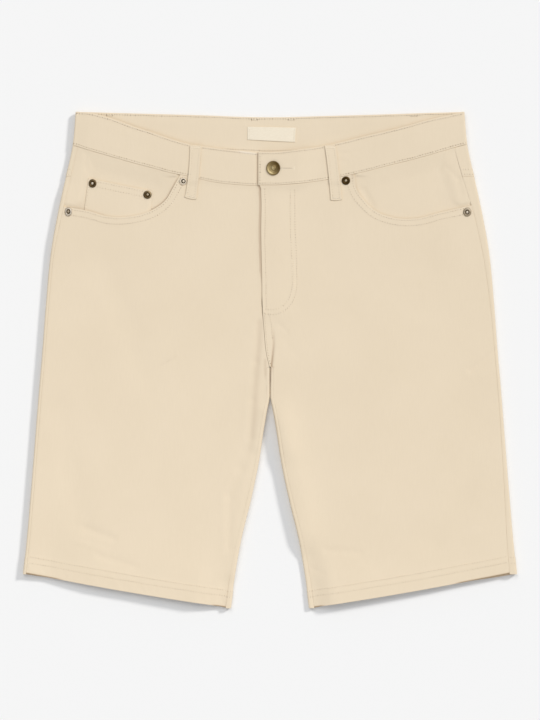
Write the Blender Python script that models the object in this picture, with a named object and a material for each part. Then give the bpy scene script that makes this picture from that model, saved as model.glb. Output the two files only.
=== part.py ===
"""Bermuda shorts in cotton twill, laid flat: five pockets, zip fly, metal button and rivets.

+X is the wearer's left, +Y runs up to the waist and +Z up from the surface it lies on. The origin is
the middle of the footprint, on that surface. All sizes below are in millimetres.

Each half of the shorts is a flattened tube. Its upper side lies at the height top_height(x, y), its
underside at under_height(x, y), and a round fold joins them. A half is worked out in (h, y, z), where
h is the distance from the centre line towards that side, and then placed with x = side * h.
"""

import math
from typing import NamedTuple

import bmesh
import bpy
import numpy as np

MM = 0.001
RIGHT = -1
LEFT = 1
SIDE_NAMES = {RIGHT: "right", LEFT: "left"}

# Cloth and clearances
CLOTH = 1.0
HEM_CLOTH = 1.8
BAND_CLOTH = 2.2
SEAM_GAP = 0.3
LAYER_GAP = 0.25
HEM_DEPTH = 20.0
HEM_STEP = 1.5

# Heights
TOP_LEVEL = 5.5
POCKET_SWELL = 0.6
SWELL_FROM = (40.0, 100.0)
SWELL_TO = (90.0, 150.0)
TOP_RANGE = (4.7, 6.15)
BAND_PROUD = 0.9
UNDER_LIFT = 1.3
WAIST_LIFT = (42.0, 22.0)
FLY_LIFT = 1.55
FLY_LIFT_FROM = (38.0, 38.0)
FLY_LIFT_TO = (4.0, 60.0)
OVERLAP_LIFT = (62.0, 30.0)
FACING_DEPTH = {RIGHT: 2.5, LEFT: 1.6}
FACING_FALL = (20.0, 28.0)
SEAM_DEPTH = CLOTH + LAYER_GAP

# Folds
SIDE_FOLD = 3.0
CROTCH_FOLD = 1.8
FOLD_ANGLES = (90, 45, 0, -45, -90)
CURL_LENGTH = 8.8
CURL_END = 2.5
FORK_CLEARANCE = 0.25

# Lengths along the body
CENTRE_WAIST_BACK = 246.2
SIDE_YOKE = 216.4
CENTRE_YOKE = 190.0
SIDE_HEM = -251.3
INNER_HEM = -291.4
BACK_HEM_DROP = 1.2
HEM_BULGE = 2.6
BACK_HEM_POWER = 6

# Fly, waistband ends and button
UNDERLAP_END = -22.0
OVERLAP_END = -14.0
BUTTON_AT = (3.9, 226.6)
BUTTON_RADIUS = 8.5
SHANK_RADIUS = 1.5
EYELET_RADIUS = 2.3
SLIT_HALF_WIDTH = 0.7
SLIT_END = 27.0
ZIP_BOX = (-24.0, 10.0, 78.0, 203.0)

# Pockets, loops, label
FACING_MARGIN = (12.0, 14.0)
BACK_POCKET = {"inner": 60.0, "outer": 190.0, "top": 165.0, "bottom": 26.0, "point": 14.0}
BACK_POCKET_TAPER = 0.06
LIFT_MARGIN = 26.0
LIFT_RAMP = 20.0
LOOP_WIDTH = 13.0
LOOP_SLACK = 0.5
LOOP_SLACK_END = 0.7
LOOP_DROP = (11.0, 3.5)
LOOP_SHARES = (0.0, 0.06, 0.25, 0.45, 0.64, 0.78, 0.9, 1.0)
BACK_LOOP_INSET = 1.0
BACK_LOOP_REACH = 15.0
BACK_LOOPS_X = (-189.0, -18.3, 24.8, 169.7)
LABEL_CORNERS = ((-26.6, 275.0), (30.4, 273.8), (29.5, 256.7), (-26.6, 259.6))
LABEL_CLOTH = 0.8
RIVET_RADIUS = 4.8

TWILL = (0.80, 0.69, 0.51)
TWILL_INSIDE = (0.78, 0.66, 0.48)
BRASS = (0.26, 0.20, 0.12)
WOVEN_LABEL = (0.86, 0.83, 0.76)


class Level(NamedTuple):
    """The silhouette at one height, and how far inside it each side seam runs on the upper side."""

    y: float
    half_width: float
    right_inset: float
    left_inset: float


LEVELS = (
    Level(292.6, 229.0, 6.0, 15.5),
    Level(253.7, 232.5, 5.9, 15.3),
    Level(212.4, 241.5, 5.9, 13.8),
    Level(177.0, 249.2, 5.5, 10.5),
    Level(129.8, 257.8, 4.0, 8.0),
    Level(70.8, 263.7, 3.6, 5.0),
    Level(11.8, 268.2, 3.6, 3.8),
    Level(-47.2, 273.2, 3.6, 3.9),
    Level(-106.2, 277.9, 3.6, 4.6),
    Level(-165.2, 282.6, 3.6, 5.9),
    Level(-224.2, 287.9, 3.6, 8.0),
    Level(-252.5, 291.0, 3.5, 8.6),
)


class ForkLevel(NamedTuple):
    """The space between the legs at one height: half its width, the inner fold and the inseam on top."""

    y: float
    half_gap: float
    fold: float
    inseam_inset: float


FORK = (
    ForkLevel(-12.0, 0.0, CROTCH_FOLD, 3.6),
    ForkLevel(-47.0, 0.3, 2.6, 4.0),
    ForkLevel(-59.0, 3.0, 2.8, 4.1),
    ForkLevel(-83.0, 7.1, SIDE_FOLD, 4.3),
    ForkLevel(-118.0, 12.4, SIDE_FOLD, 4.5),
    ForkLevel(-165.0, 22.2, SIDE_FOLD, 4.9),
    ForkLevel(-212.0, 33.6, SIDE_FOLD, 5.3),
    ForkLevel(-260.0, 41.9, SIDE_FOLD, 5.8),
    ForkLevel(-292.6, 46.0, SIDE_FOLD, 6.0),
)
LEGS_APART = FORK[3].y


class CrotchLevel(NamedTuple):
    """How far the backs have curled up between the legs, from 0 flat to 1 round to the upper side."""

    y: float
    curl: float


CROTCH = (
    CrotchLevel(-17.0, 1.0),
    CrotchLevel(-9.5, 0.75),
    CrotchLevel(-8.0, 0.7),
    CrotchLevel(2.0, 0.3),
    CrotchLevel(12.0, 0.0),
)


class CentreFront(NamedTuple):
    """Where the two fronts end at one height: the left one's edge, and the right one's under or beside it."""

    y: float
    left_x: float
    right_x: float


CENTRE_FRONT = (
    CentreFront(-8.0, 0.0, -0.3),
    CentreFront(10.0, -3.0, -3.3),
    CentreFront(30.0, -6.0, -6.3),
    CentreFront(55.0, -8.5, -8.8),
    CentreFront(72.0, -9.2, -9.5),
    CentreFront(92.0, -10.0, -4.0),
    CentreFront(150.0, -11.8, -5.0),
    CentreFront(195.0, -11.8, -5.0),
    CentreFront(206.0, -13.5, -6.5),
)


class WaistColumn(NamedTuple):
    """The front waistband at one distance from the centre line: its lower and upper edge on each side."""

    h: float
    right_seam: float
    left_seam: float
    right_top: float
    left_top: float


WAIST = (
    WaistColumn(10.0, 206.2, 206.7, 243.4, 245.8),
    WaistColumn(40.0, 207.5, 210.8, 247.6, 249.5),
    WaistColumn(65.0, 210.4, 214.4, 251.0, 253.0),
    WaistColumn(98.0, 218.0, 219.5, 255.3, 258.5),
    WaistColumn(140.0, 227.5, 230.6, 268.8, 269.0),
    WaistColumn(180.0, 238.3, 242.1, 283.0, 281.0),
    WaistColumn(210.0, 247.8, 249.3, 291.2, 288.0),
    WaistColumn(229.0, 253.7, 254.6, 292.6, 292.4),
)


class BackTop(NamedTuple):
    """The upper edge of the back waistband."""

    x: float
    y: float


BACK_TOP = (
    BackTop(-229.0, 292.6),
    BackTop(-35.0, 286.5),
    BackTop(24.0, 287.0),
    BackTop(103.0, 289.1),
    BackTop(169.0, 291.5),
    BackTop(229.0, 292.4),
)


class PocketKnot(NamedTuple):
    """A point on the pocket mouths, from the waist to the side seam."""

    right_h: float
    right_y: float
    left_h: float
    left_y: float


POCKET_MOUTH = (
    PocketKnot(106.0, 219.0, 98.3, 219.0),
    PocketKnot(113.0, 205.5, 101.0, 204.0),
    PocketKnot(124.0, 187.5, 110.0, 189.5),
    PocketKnot(140.0, 176.3, 126.0, 175.0),
    PocketKnot(164.0, 169.6, 146.0, 168.0),
    PocketKnot(190.0, 169.3, 170.0, 166.8),
    PocketKnot(216.0, 176.2, 202.0, 174.5),
    PocketKnot(243.0, 180.6, 237.0, 182.2),
)


class Crease(NamedTuple):
    """A soft trough (negative depth) or ridge of the upper side along a straight stretch."""

    x0: float
    y0: float
    x1: float
    y1: float
    width: float
    depth: float


CREASES = (
    Crease(-194, 112, -171, 47, 15, -0.7),
    Crease(-171, 47, -142, -35, 15, -0.6),
    Crease(-246, -62, -236, -130, 13, -0.5),
    Crease(-236, -130, -222, -190, 13, -0.7),
    Crease(-222, -190, -183, -236, 13, -0.5),
    Crease(-54, -150, -51, -225, 13, 0.5),
    Crease(256, -83, 224, -165, 14, -0.6),
    Crease(224, -165, 189, -212, 14, -0.7),
    Crease(189, -212, 130, -243, 14, -0.5),
    Crease(-110, -60, -120, -180, 40, 0.35),
    Crease(120, -20, 130, -150, 45, 0.35),
)


class Rivet(NamedTuple):
    """A rivet's place, and how far below the upper side the cloth it sits on lies."""

    x: float
    y: float
    depth: float


COIN_RIVET_DEPTH = FACING_DEPTH[RIGHT] - CLOTH - LAYER_GAP
RIVETS = (
    Rivet(-209.0, 208.0, COIN_RIVET_DEPTH),
    Rivet(-144.3, 194.7, COIN_RIVET_DEPTH),
    Rivet(-237.4, 174.6, 0.0),
    Rivet(-102.4, 210.4, 0.0),
    Rivet(89.4, 211.2, 0.0),
    Rivet(232.2, 174.2, 0.0),
)

COIN_CORNERS = ((-214.0, 214.4), (-138.4, 198.7), (-141.4, 164.0), (-220.0, 167.0))


class Ring(NamedTuple):
    """A ring of a turned piece: its radius, and its height above the piece's base."""

    radius: float
    height: float


RIVET_RINGS = (
    Ring(0.0, 0.0),
    Ring(RIVET_RADIUS - 0.3, 0.0),
    Ring(RIVET_RADIUS, 0.4),
    Ring(RIVET_RADIUS - 0.5, 1.1),
    Ring(RIVET_RADIUS - 1.5, 1.4),
    Ring(1.9, 1.0),
    Ring(1.5, 1.9),
    Ring(0.0, 2.2),
)
HEAD_RINGS = (
    Ring(BUTTON_RADIUS - 0.8, 0.0),
    Ring(BUTTON_RADIUS, 0.9),
    Ring(BUTTON_RADIUS - 0.6, 1.9),
    Ring(BUTTON_RADIUS - 1.8, 2.2),
    Ring(BUTTON_RADIUS - 2.8, 1.6),
    Ring(3.2, 1.4),
    Ring(2.4, 2.0),
    Ring(0.0, 2.3),
)


class FrontLoop(NamedTuple):
    """A belt loop on the front: the middle of its upper and lower end, and how late (above 1) it bends."""

    top_x: float
    top_y: float
    low_x: float
    low_y: float
    bend: float


FRONT_LOOPS = (
    FrontLoop(-87.8, 252.6, -93.6, 190.6, 1.8),
    FrontLoop(70.6, 252.6, 78.2, 188.8, 0.85),
)


def column(table, name):
    return np.array([getattr(row, name) for row in table], float)


def through(at, knots, values):
    """A smooth curve through the knots, flat outside them."""
    order = np.argsort(knots)
    knots = np.asarray(knots, float)[order]
    values = np.asarray(values, float)[order]
    slopes = np.gradient(values, knots)
    at = np.clip(at, knots[0], knots[-1])
    i = np.clip(np.searchsorted(knots, at) - 1, 0, len(knots) - 2)
    span = knots[i + 1] - knots[i]
    s = (at - knots[i]) / span
    start = (2 * s**3 - 3 * s**2 + 1) * values[i] + (s**3 - 2 * s**2 + s) * span * slopes[i]
    end = (3 * s**2 - 2 * s**3) * values[i + 1] + (s**3 - s**2) * span * slopes[i + 1]
    return start + end


def step(x, low, high):
    """0 at low, 1 at high, smooth between, for low < high or the other way round."""
    s = np.clip((x - low) / (high - low), 0.0, 1.0)
    return s * s * (3 - 2 * s)


def mix(a, b, share):
    return a + (b - a) * share


def half_width(y):
    return through(y, column(LEVELS, "y"), column(LEVELS, "half_width"))


def seam_inset(side, y):
    return through(y, column(LEVELS, "y"), column(LEVELS, SIDE_NAMES[side] + "_inset"))


def fork_value(name, y):
    return np.maximum(through(y, column(FORK, "y"), column(FORK, name)), 0.0)


def curl_at(y):
    return np.interp(y, column(CROTCH, "y"), column(CROTCH, "curl"))


def waist_seam(side, h):
    return through(h, column(WAIST, "h"), column(WAIST, SIDE_NAMES[side] + "_seam"))


def band_top(side, h):
    return through(h, column(WAIST, "h"), column(WAIST, SIDE_NAMES[side] + "_top"))


def corner_seam(side):
    return getattr(WAIST[-1], SIDE_NAMES[side] + "_seam")


def back_seam(x):
    """The lower edge of the back waistband."""
    share = np.clip(np.abs(x) / WAIST[-1].h, 0.0, 1.0)
    corner = np.where(np.asarray(x) < 0, corner_seam(RIGHT), corner_seam(LEFT))
    return mix(CENTRE_WAIST_BACK, corner, share)


def segment_distance(x, y, x0, y0, x1, y1):
    dx = x1 - x0
    dy = y1 - y0
    share = np.clip(((x - x0) * dx + (y - y0) * dy) / (dx * dx + dy * dy), 0.0, 1.0)
    return np.hypot(x - x0 - share * dx, y - y0 - share * dy)


def top_height(x, y):
    """The outer face of a single layer on the upper side."""
    x = np.asarray(x, float)
    y = np.asarray(y, float)
    swell = step(np.abs(x), SWELL_FROM[0], SWELL_TO[0]) * step(y, SWELL_FROM[1], SWELL_TO[1])
    z = TOP_LEVEL + POCKET_SWELL * swell
    for crease in CREASES:
        distance = segment_distance(x, y, crease.x0, crease.y0, crease.x1, crease.y1)
        z = z + crease.depth * np.exp(-((distance / crease.width) ** 2))
    return np.clip(z, *TOP_RANGE)


def fly_lift(x, y):
    """How far the left front is raised by the layers of the fly beneath it."""
    return FLY_LIFT * step(x, FLY_LIFT_FROM[0], FLY_LIFT_TO[0]) * step(y, FLY_LIFT_FROM[1], FLY_LIFT_TO[1])


def band_lift(x):
    """How far the overlapping end of the waistband is raised by the underlap."""
    return (BAND_CLOTH + SEAM_GAP) * step(x, *OVERLAP_LIFT)


def under_height(x, y):
    """The outer face of the underside, raised over the back pockets and the back belt loops."""
    h = np.abs(np.asarray(x, float))
    y = np.asarray(y, float)
    outside_h = np.maximum(BACK_POCKET["inner"] - h, h - BACK_POCKET["outer"])
    outside_y = np.maximum(BACK_POCKET["bottom"] - BACK_POCKET["point"] - y, y - BACK_POCKET["top"])
    edge = LIFT_MARGIN + LIFT_RAMP
    pocket = step(outside_h, edge, LIFT_MARGIN) * step(outside_y, edge, LIFT_MARGIN)
    waist = step(back_seam(x) - y, *WAIST_LIFT)
    return UNDER_LIFT * np.maximum(pocket, waist)


def facing_depth(side, h, y):
    """How far the pocket facing lies below the upper side."""
    inside_seam = step(half_width(y) - seam_inset(side, y) - h, 0.0, FACING_FALL[0])
    below_waist = step(waist_seam(side, h) - y, 0.0, FACING_FALL[1])
    return SEAM_DEPTH + (FACING_DEPTH[side] - SEAM_DEPTH) * below_waist * inside_seam


def parallel(path, thickness):
    """The path in (h, z), moved inwards by the thickness, with mitred corners."""
    steps = np.diff(path, axis=0)
    steps /= np.linalg.norm(steps, axis=1)[:, None]
    normals = np.column_stack([-steps[:, 1], steps[:, 0]])
    before = np.vstack([normals[:1], normals])
    after = np.vstack([normals, normals[-1:]])
    mitre = (before + after) / (1.0 + np.sum(before * after, axis=1))[:, None]
    return path - thickness * mitre


def closed_mesh(name, outer, inner):
    """A closed wall between two grids of points of the same shape."""
    rows, columns = outer.shape[:2]
    points = np.concatenate([outer.reshape(-1, 3), inner.reshape(-1, 3)]) * MM
    count = rows * columns
    faces = []
    for r in range(rows - 1):
        for c in range(columns - 1):
            a = r * columns + c
            quad = (a, a + 1, a + columns + 1, a + columns)
            faces.append(quad)
            faces.append(tuple(count + i for i in reversed(quad)))
    rim = list(range(columns))
    rim += [r * columns + columns - 1 for r in range(1, rows)]
    rim += [(rows - 1) * columns + c for c in range(columns - 2, -1, -1)]
    rim += [r * columns for r in range(rows - 2, 0, -1)]
    for a, b in zip(rim, rim[1:] + rim[:1]):
        faces.append((b, a, count + a, count + b))
    mesh = bpy.data.meshes.new(name)
    mesh.from_pydata([tuple(p) for p in points], [], faces)
    return mesh


def outward(mesh):
    """Turns every face of a closed mesh outwards."""
    solid = bmesh.new()
    solid.from_mesh(mesh)
    bmesh.ops.recalc_face_normals(solid, faces=solid.faces)
    solid.to_mesh(mesh)
    solid.free()


def finished(name, mesh, colour, roughness, metallic=0.0):
    """The object of a mesh, shaded smooth, with a material of its own."""
    outward(mesh)
    mesh.shade_smooth()
    mesh.set_sharp_from_angle(angle=math.radians(40))
    material = bpy.data.materials.new(name + "_finish")
    material.use_nodes = True
    shader = material.node_tree.nodes["Principled BSDF"]
    shader.inputs["Base Color"].default_value = (*colour, 1.0)
    shader.inputs["Roughness"].default_value = roughness
    shader.inputs["Metallic"].default_value = metallic
    mesh.materials.append(material)
    obj = bpy.data.objects.new(name, mesh)
    bpy.context.scene.collection.objects.link(obj)
    return obj


def cloth(name, mesh, colour=TWILL):
    return finished(name, mesh, colour, roughness=0.9)


def laid(name, x, y, z, thickness, colour=TWILL):
    """A piece that lies flat: a grid in x and y whose upper face is at z."""
    upper = np.stack([x, y, z], axis=-1)
    lower = np.stack([x, y, z - thickness], axis=-1)
    return cloth(name, closed_mesh(name, upper, lower), colour)


def stretched(corners, rows, columns):
    """A grid over four corners: upper left, upper right, lower right, lower left."""
    down = np.linspace(0.0, 1.0, rows)[:, None]
    across = np.linspace(0.0, 1.0, columns)[None, :]
    corners = np.array(corners, float)
    grids = []
    for axis in range(2):
        upper = mix(corners[0, axis], corners[1, axis], across)
        lower = mix(corners[3, axis], corners[2, axis], across)
        grids.append(mix(upper, lower, down))
    return grids


def coons(top, low, outer, inner, across, down):
    """A grid that fills four boundary curves: top and low run along across, outer and inner along down."""
    u = across[None, :, None]
    v = down[:, None, None]
    between = (1 - v) * top[None] + v * low[None] + (1 - u) * outer[:, None] + u * inner[:, None]
    corners = (1 - u) * (1 - v) * top[0] + u * (1 - v) * top[-1] + (1 - u) * v * low[0] + u * v * low[-1]
    return between - corners


def chord_share(points):
    """The distance along a path at each of its points, from 0 to 1."""
    lengths = np.linalg.norm(np.diff(points, axis=0), axis=1)
    along = np.concatenate([[0.0], np.cumsum(lengths)])
    return along / along[-1]


def pocket_mouth(side, cells):
    """The pocket's edge from the side seam to the waist."""
    name = SIDE_NAMES[side]
    knots = np.column_stack([column(POCKET_MOUTH, name + "_h"), column(POCKET_MOUTH, name + "_y")])[::-1]
    knots[0, 0] = half_width(knots[0, 1]) - seam_inset(side, knots[0, 1])
    knots[-1, 1] = waist_seam(side, knots[-1, 0])
    share = chord_share(knots)
    at = np.linspace(0.0, 1.0, cells + 1)
    return np.column_stack([through(at, share, knots[:, 0]), through(at, share, knots[:, 1])])


def front_edge(side, y):
    """The inner edge of a front: centre front above the crotch, the inseam below it."""
    name = "left_x" if side == LEFT else "right_x"
    centre = side * np.interp(y, column(CENTRE_FRONT, "y"), column(CENTRE_FRONT, name))
    inseam = fork_value("half_gap", y) + FORK_CLEARANCE + fork_value("inseam_inset", y) + SEAM_GAP / 2
    return np.where(y >= CENTRE_FRONT[0].y, centre, inseam)


def hem_y(h, outer_h, inner_h, side_y, inner_y):
    """The hem's slant from the side to the inner leg, with its slight bow."""
    share = (outer_h - h) / (outer_h - inner_h)
    return mix(side_y, inner_y, share) - HEM_BULGE * np.sin(math.pi * share)


def inner_levels(top_y, hem, torso_cells=11, fork_cells=5, leg_cells=9):
    """The heights of a panel's rows at its inner edge, closer together at the crotch and the hem's fold."""
    torso = np.linspace(top_y, CROTCH[-1].y, torso_cells + 1)
    crotch = column(CROTCH, "y")[-2::-1]
    fork = np.linspace(CROTCH[0].y, LEGS_APART, fork_cells + 1)[1:]
    hem_fold = INNER_HEM + HEM_DEPTH
    leg = np.linspace(LEGS_APART, hem_fold, leg_cells + 1)[1:]
    return np.concatenate([torso, crotch, fork, leg, [hem_fold - HEM_STEP, hem]])


def walls(levels):
    """The cloth's thickness at each row: doubled inside the hem."""
    return np.where(levels < INNER_HEM + HEM_DEPTH - HEM_STEP / 2, HEM_CLOTH, CLOTH)


def front_panel(side, pocket_cells=8, waist_cells=6):
    """A front: pocket mouth and waist seam above, side seam, hem, and centre front with the inseam."""
    name = "front_" + SIDE_NAMES[side]
    mouth = pocket_mouth(side, pocket_cells)
    waist_end = float(front_edge(side, CENTRE_FRONT[-1].y))
    waist_h = np.linspace(mouth[-1, 0], waist_end, waist_cells + 1)[1:]
    waist = np.column_stack([waist_h, waist_seam(side, waist_h) - SEAM_GAP])
    mouth[-1, 1] -= SEAM_GAP
    mouth[0, 0] -= SEAM_GAP / 2
    top = np.vstack([mouth, waist])
    across = chord_share(top)
    inner_y = inner_levels(top[-1, 1], INNER_HEM)
    down = (inner_y[0] - inner_y) / (inner_y[0] - INNER_HEM)
    outer_y = mix(top[0, 1], SIDE_HEM, down)
    outer = np.column_stack([half_width(outer_y) - seam_inset(side, outer_y) - SEAM_GAP / 2, outer_y])
    inner = np.column_stack([front_edge(side, inner_y), inner_y])
    inner[0, 0] = top[-1, 0]
    low_h = mix(outer[-1, 0], inner[-1, 0], across)
    low = np.column_stack([low_h, hem_y(low_h, outer[-1, 0], inner[-1, 0], SIDE_HEM, INNER_HEM)])
    low[0] = outer[-1]
    low[-1] = inner[-1]
    grid = coons(top, low, outer, inner, across, down)
    x = side * grid[..., 0]
    y = grid[..., 1]
    z = top_height(x, y)
    if side == LEFT:
        z = z + fly_lift(x, y)
    return laid(name, x, y, z, walls(inner_y)[:, None])


def wrapped_row(side, side_y, inner_y, bottom_shares, top_tilt, curl):
    """One row of a piece that wraps round the side fold: (h, y, z) from the side seam on the upper side,
    round the fold, along the underside and, as far as curl says, round the inner leg to the inseam."""
    width = half_width(side_y)
    shoulder = width - SIDE_FOLD
    seam = width - seam_inset(side, side_y) + SEAM_GAP / 2
    tilt = top_tilt * (waist_seam(side, seam) - corner_seam(side))
    angles = np.radians(FOLD_ANGLES)
    high = top_height(side * shoulder, side_y)
    low = under_height(side * shoulder, side_y)
    points = [(seam, side_y + tilt, top_height(side * seam, side_y))]
    for angle in angles:
        points.append(
            (shoulder + SIDE_FOLD * math.cos(angle), side_y, low + (high - low) * (1 + math.sin(angle)) / 2)
        )
    fold = fork_value("fold", inner_y)
    extreme = fork_value("half_gap", inner_y) + FORK_CLEARANCE
    inseam = extreme + fork_value("inseam_inset", inner_y) - SEAM_GAP / 2
    flat_start = SEAM_GAP / 2 + CURL_END + CURL_LENGTH
    curl_start = mix(flat_start, extreme + fold, curl)
    for share in bottom_shares:
        h = mix(shoulder, curl_start, share)
        y = mix(side_y, inner_y, share)
        points.append((h, y, under_height(side * h, y)))
    inner_high = top_height(side * (extreme + fold), inner_y)
    inner_low = under_height(side * curl_start, inner_y)
    for angle in np.radians(FOLD_ANGLES[::-1]):
        share = (math.sin(angle) + 1) / 2
        flat_h = flat_start - CURL_LENGTH * (angle / math.pi + 0.5)
        round_h = extreme + fold * (1 - math.cos(angle))
        z = inner_low + curl * (inner_high - inner_low) * share
        points.append((mix(flat_h, round_h, curl), inner_y, z))
    end_h = mix(SEAM_GAP / 2, inseam, curl)
    points.append((end_h, inner_y, inner_low + curl * (inner_high - inner_low)))
    return np.array(points)


def wrapped(name, side, rows, thickness):
    """The solid of a piece that wraps round the side fold, from its rows."""
    outer = np.array(rows)
    inner = outer.copy()
    for row, wall in enumerate(thickness):
        inner[row][:, [0, 2]] = parallel(outer[row][:, [0, 2]], wall)
    outer[..., 0] *= side
    inner[..., 0] *= side
    return cloth(name, closed_mesh(name, outer, inner))


def yoke(side, rows=3, bottom_cells=9):
    """A back yoke, between the waistband and the back."""
    shares = np.linspace(0.0, 1.0, bottom_cells + 1)[1:-1]
    made = []
    for down in np.linspace(0.0, 1.0, rows + 1):
        side_y = mix(corner_seam(side) - SEAM_GAP, SIDE_YOKE, down)
        inner_y = mix(CENTRE_WAIST_BACK - SEAM_GAP, CENTRE_YOKE, down)
        made.append(wrapped_row(side, side_y, inner_y, shares, 1.0 - down, 0.0))
    return wrapped("yoke_" + SIDE_NAMES[side], side, made, [CLOTH] * (rows + 1))


def back_panel(side, bottom_cells=11):
    """A back: yoke seam above, side seam on the upper side, centre back, crotch, inseam and hem."""
    shares = np.linspace(0.0, 1.0, bottom_cells + 1)[1:-1]
    top_y = CENTRE_YOKE - SEAM_GAP
    hem = INNER_HEM - BACK_HEM_DROP
    levels = inner_levels(top_y, hem)
    made = []
    for inner_y in levels:
        down = (top_y - inner_y) / (top_y - hem)
        side_y = mix(SIDE_YOKE - SEAM_GAP, SIDE_HEM - BACK_HEM_DROP, down)
        row = wrapped_row(side, side_y, inner_y, shares, 0.0, curl_at(inner_y))
        bow = HEM_BULGE * down**BACK_HEM_POWER
        row[:, 1] -= bow * np.sin(math.pi * np.clip((row[0, 0] - row[:, 0]) / (row[0, 0] - row[-1, 0]), 0, 1))
        made.append(row)
    return wrapped("back_" + SIDE_NAMES[side], side, made, walls(levels))


def pocket_facing(side, columns=9, rows=5):
    """The facing that fills the pocket mouth and runs a little way under the front."""
    mouth = pocket_mouth(side, columns)
    across = np.linspace(0.0, 1.0, columns + 1)
    low = mouth - np.column_stack([FACING_MARGIN[0] * across, np.full(columns + 1, FACING_MARGIN[1])])
    side_y = mouth[0, 1] - FACING_MARGIN[1]
    down = np.linspace(0.0, 1.0, rows + 1)
    outer_y = mix(corner_seam(side) - SEAM_GAP, side_y, down)
    outer_h = half_width(outer_y) - seam_inset(side, outer_y) - SEAM_GAP / 2
    outer_y = outer_y - (1 - down) * (corner_seam(side) - waist_seam(side, outer_h))
    top_h = mix(outer_h[0], low[-1, 0], across)
    top = np.column_stack([top_h, waist_seam(side, top_h) - SEAM_GAP])
    outer = np.column_stack([outer_h, outer_y])
    inner = mix(top[-1], low[-1], down[:, None])
    low[0] = outer[-1]
    top[0] = outer[0]
    grid = coons(top, low, outer, inner, across, down)
    h = grid[..., 0]
    y = grid[..., 1]
    z = top_height(side * h, y) - facing_depth(side, h, y)
    return laid("pocket_facing_" + SIDE_NAMES[side], side * h, y, z, CLOTH)


def coin_pocket():
    """The small pocket on the right facing, its lower end under the front."""
    x, y = stretched(COIN_CORNERS, rows=4, columns=6)
    z = top_height(x, y) - COIN_RIVET_DEPTH
    return laid("coin_pocket", x, y, z, CLOTH)


def band_row(share, right_cells=11, back_cells=15, left_cells=16):
    """One line along the waistband, from the underlap round the back to the overlap, in (x, y, z)."""
    points = []
    angles = np.radians(FOLD_ANGLES)

    def fold(side, order):
        y = mix(band_top(side, WAIST[-1].h), corner_seam(side), share)
        shoulder = half_width(y) - SIDE_FOLD
        high = top_height(side * shoulder, y) + BAND_PROUD
        low = under_height(side * shoulder, y)
        for angle in order:
            z = low + (high - low) * (1 + math.sin(angle)) / 2
            points.append((side * (shoulder + SIDE_FOLD * math.cos(angle)), y, z))
        return shoulder

    def front(side, hs):
        for h in hs:
            seam = waist_seam(side, h)
            if side == RIGHT and h < WAIST[0].h:
                seam = max(seam, waist_seam(LEFT, -h) + SEAM_GAP)
            y = mix(band_top(side, h), seam, share)
            z = top_height(side * h, y) + BAND_PROUD
            if side == LEFT:
                z = z + band_lift(h)
            points.append((side * h, y, z))

    shoulder_y = mix(band_top(RIGHT, WAIST[-1].h), corner_seam(RIGHT), share)
    reach = half_width(shoulder_y) - SIDE_FOLD
    front(RIGHT, np.linspace(UNDERLAP_END, reach, right_cells + 1)[:-1])
    fold(RIGHT, angles)
    for x in np.linspace(-reach, reach, back_cells + 1)[1:-1]:
        y = mix(through(x, column(BACK_TOP, "x"), column(BACK_TOP, "y")), back_seam(x), share)
        points.append((x, y, under_height(x, y)))
    fold(LEFT, angles[::-1])
    front(LEFT, np.linspace(reach, OVERLAP_END, left_cells + 1)[1:])
    return np.array(points)


def arc(middle, radius, start, end, cells):
    """Points on an arc, in (x, y)."""
    angles = np.linspace(start, end, cells + 1)
    return [(middle[0] + radius * math.cos(a), middle[1] + radius * math.sin(a)) for a in angles]


def keyhole_cutter(low, high, eyelet_cells=12, end_cells=4):
    """The prism between two heights that cuts the buttonhole: an eyelet round the shank, and a slit."""
    opening = math.asin(SLIT_HALF_WIDTH / EYELET_RADIUS)
    slit_middle = (SLIT_END - SLIT_HALF_WIDTH, BUTTON_AT[1])
    outline = arc(BUTTON_AT, EYELET_RADIUS, opening, 2 * math.pi - opening, eyelet_cells)
    outline += arc(slit_middle, SLIT_HALF_WIDTH, -math.pi / 2, math.pi / 2, end_cells)
    shape = bmesh.new()
    ring = [shape.verts.new((x * MM, y * MM, low * MM)) for x, y in outline]
    grown = bmesh.ops.extrude_face_region(shape, geom=[shape.faces.new(ring)])
    raised = [item for item in grown["geom"] if isinstance(item, bmesh.types.BMVert)]
    bmesh.ops.translate(shape, verts=raised, vec=(0, 0, (high - low) * MM))
    mesh = bpy.data.meshes.new("buttonhole_cutter")
    shape.to_mesh(mesh)
    shape.free()
    outward(mesh)
    cutter = bpy.data.objects.new("buttonhole_cutter", mesh)
    cutter.hide_render = True
    cutter.display_type = "WIRE"
    bpy.context.scene.collection.objects.link(cutter)
    return cutter


def waistband(rows=3):
    """The double waistband, one strip with the right end under the left."""
    outer = np.array([band_row(share) for share in np.linspace(0.0, 1.0, rows + 1)])
    inner = outer.copy()
    for row in range(rows + 1):
        path = outer[row][:, [0, 2]] * (-1, 1)
        moved = parallel(path, BAND_CLOTH)
        inner[row][:, [0, 2]] = moved * (-1, 1)
    band = cloth("waistband", closed_mesh("waistband", outer, inner))
    cut = band.modifiers.new("buttonhole", "BOOLEAN")
    cut.operation = "DIFFERENCE"
    cut.solver = "EXACT"
    cut.object = keyhole_cutter(underlap_height() + SEAM_GAP / 2, overlap_height() + BAND_CLOTH)
    return band


def underlap_height():
    return float(top_height(*BUTTON_AT)) + BAND_PROUD


def overlap_height():
    return underlap_height() + BAND_CLOTH + SEAM_GAP


def fly_zip(rows=9):
    """The closed zip's tapes, under both fronts."""
    low_x, high_x, low_y, high_y = ZIP_BOX
    corners = ((low_x, high_y), (high_x, high_y), (high_x, low_y), (low_x, low_y))
    x, y = stretched(corners, rows, 4)
    z = top_height(x, y) - CLOTH - SEAM_GAP
    return laid("zip", x, y, z, CLOTH, TWILL_INSIDE)


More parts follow.
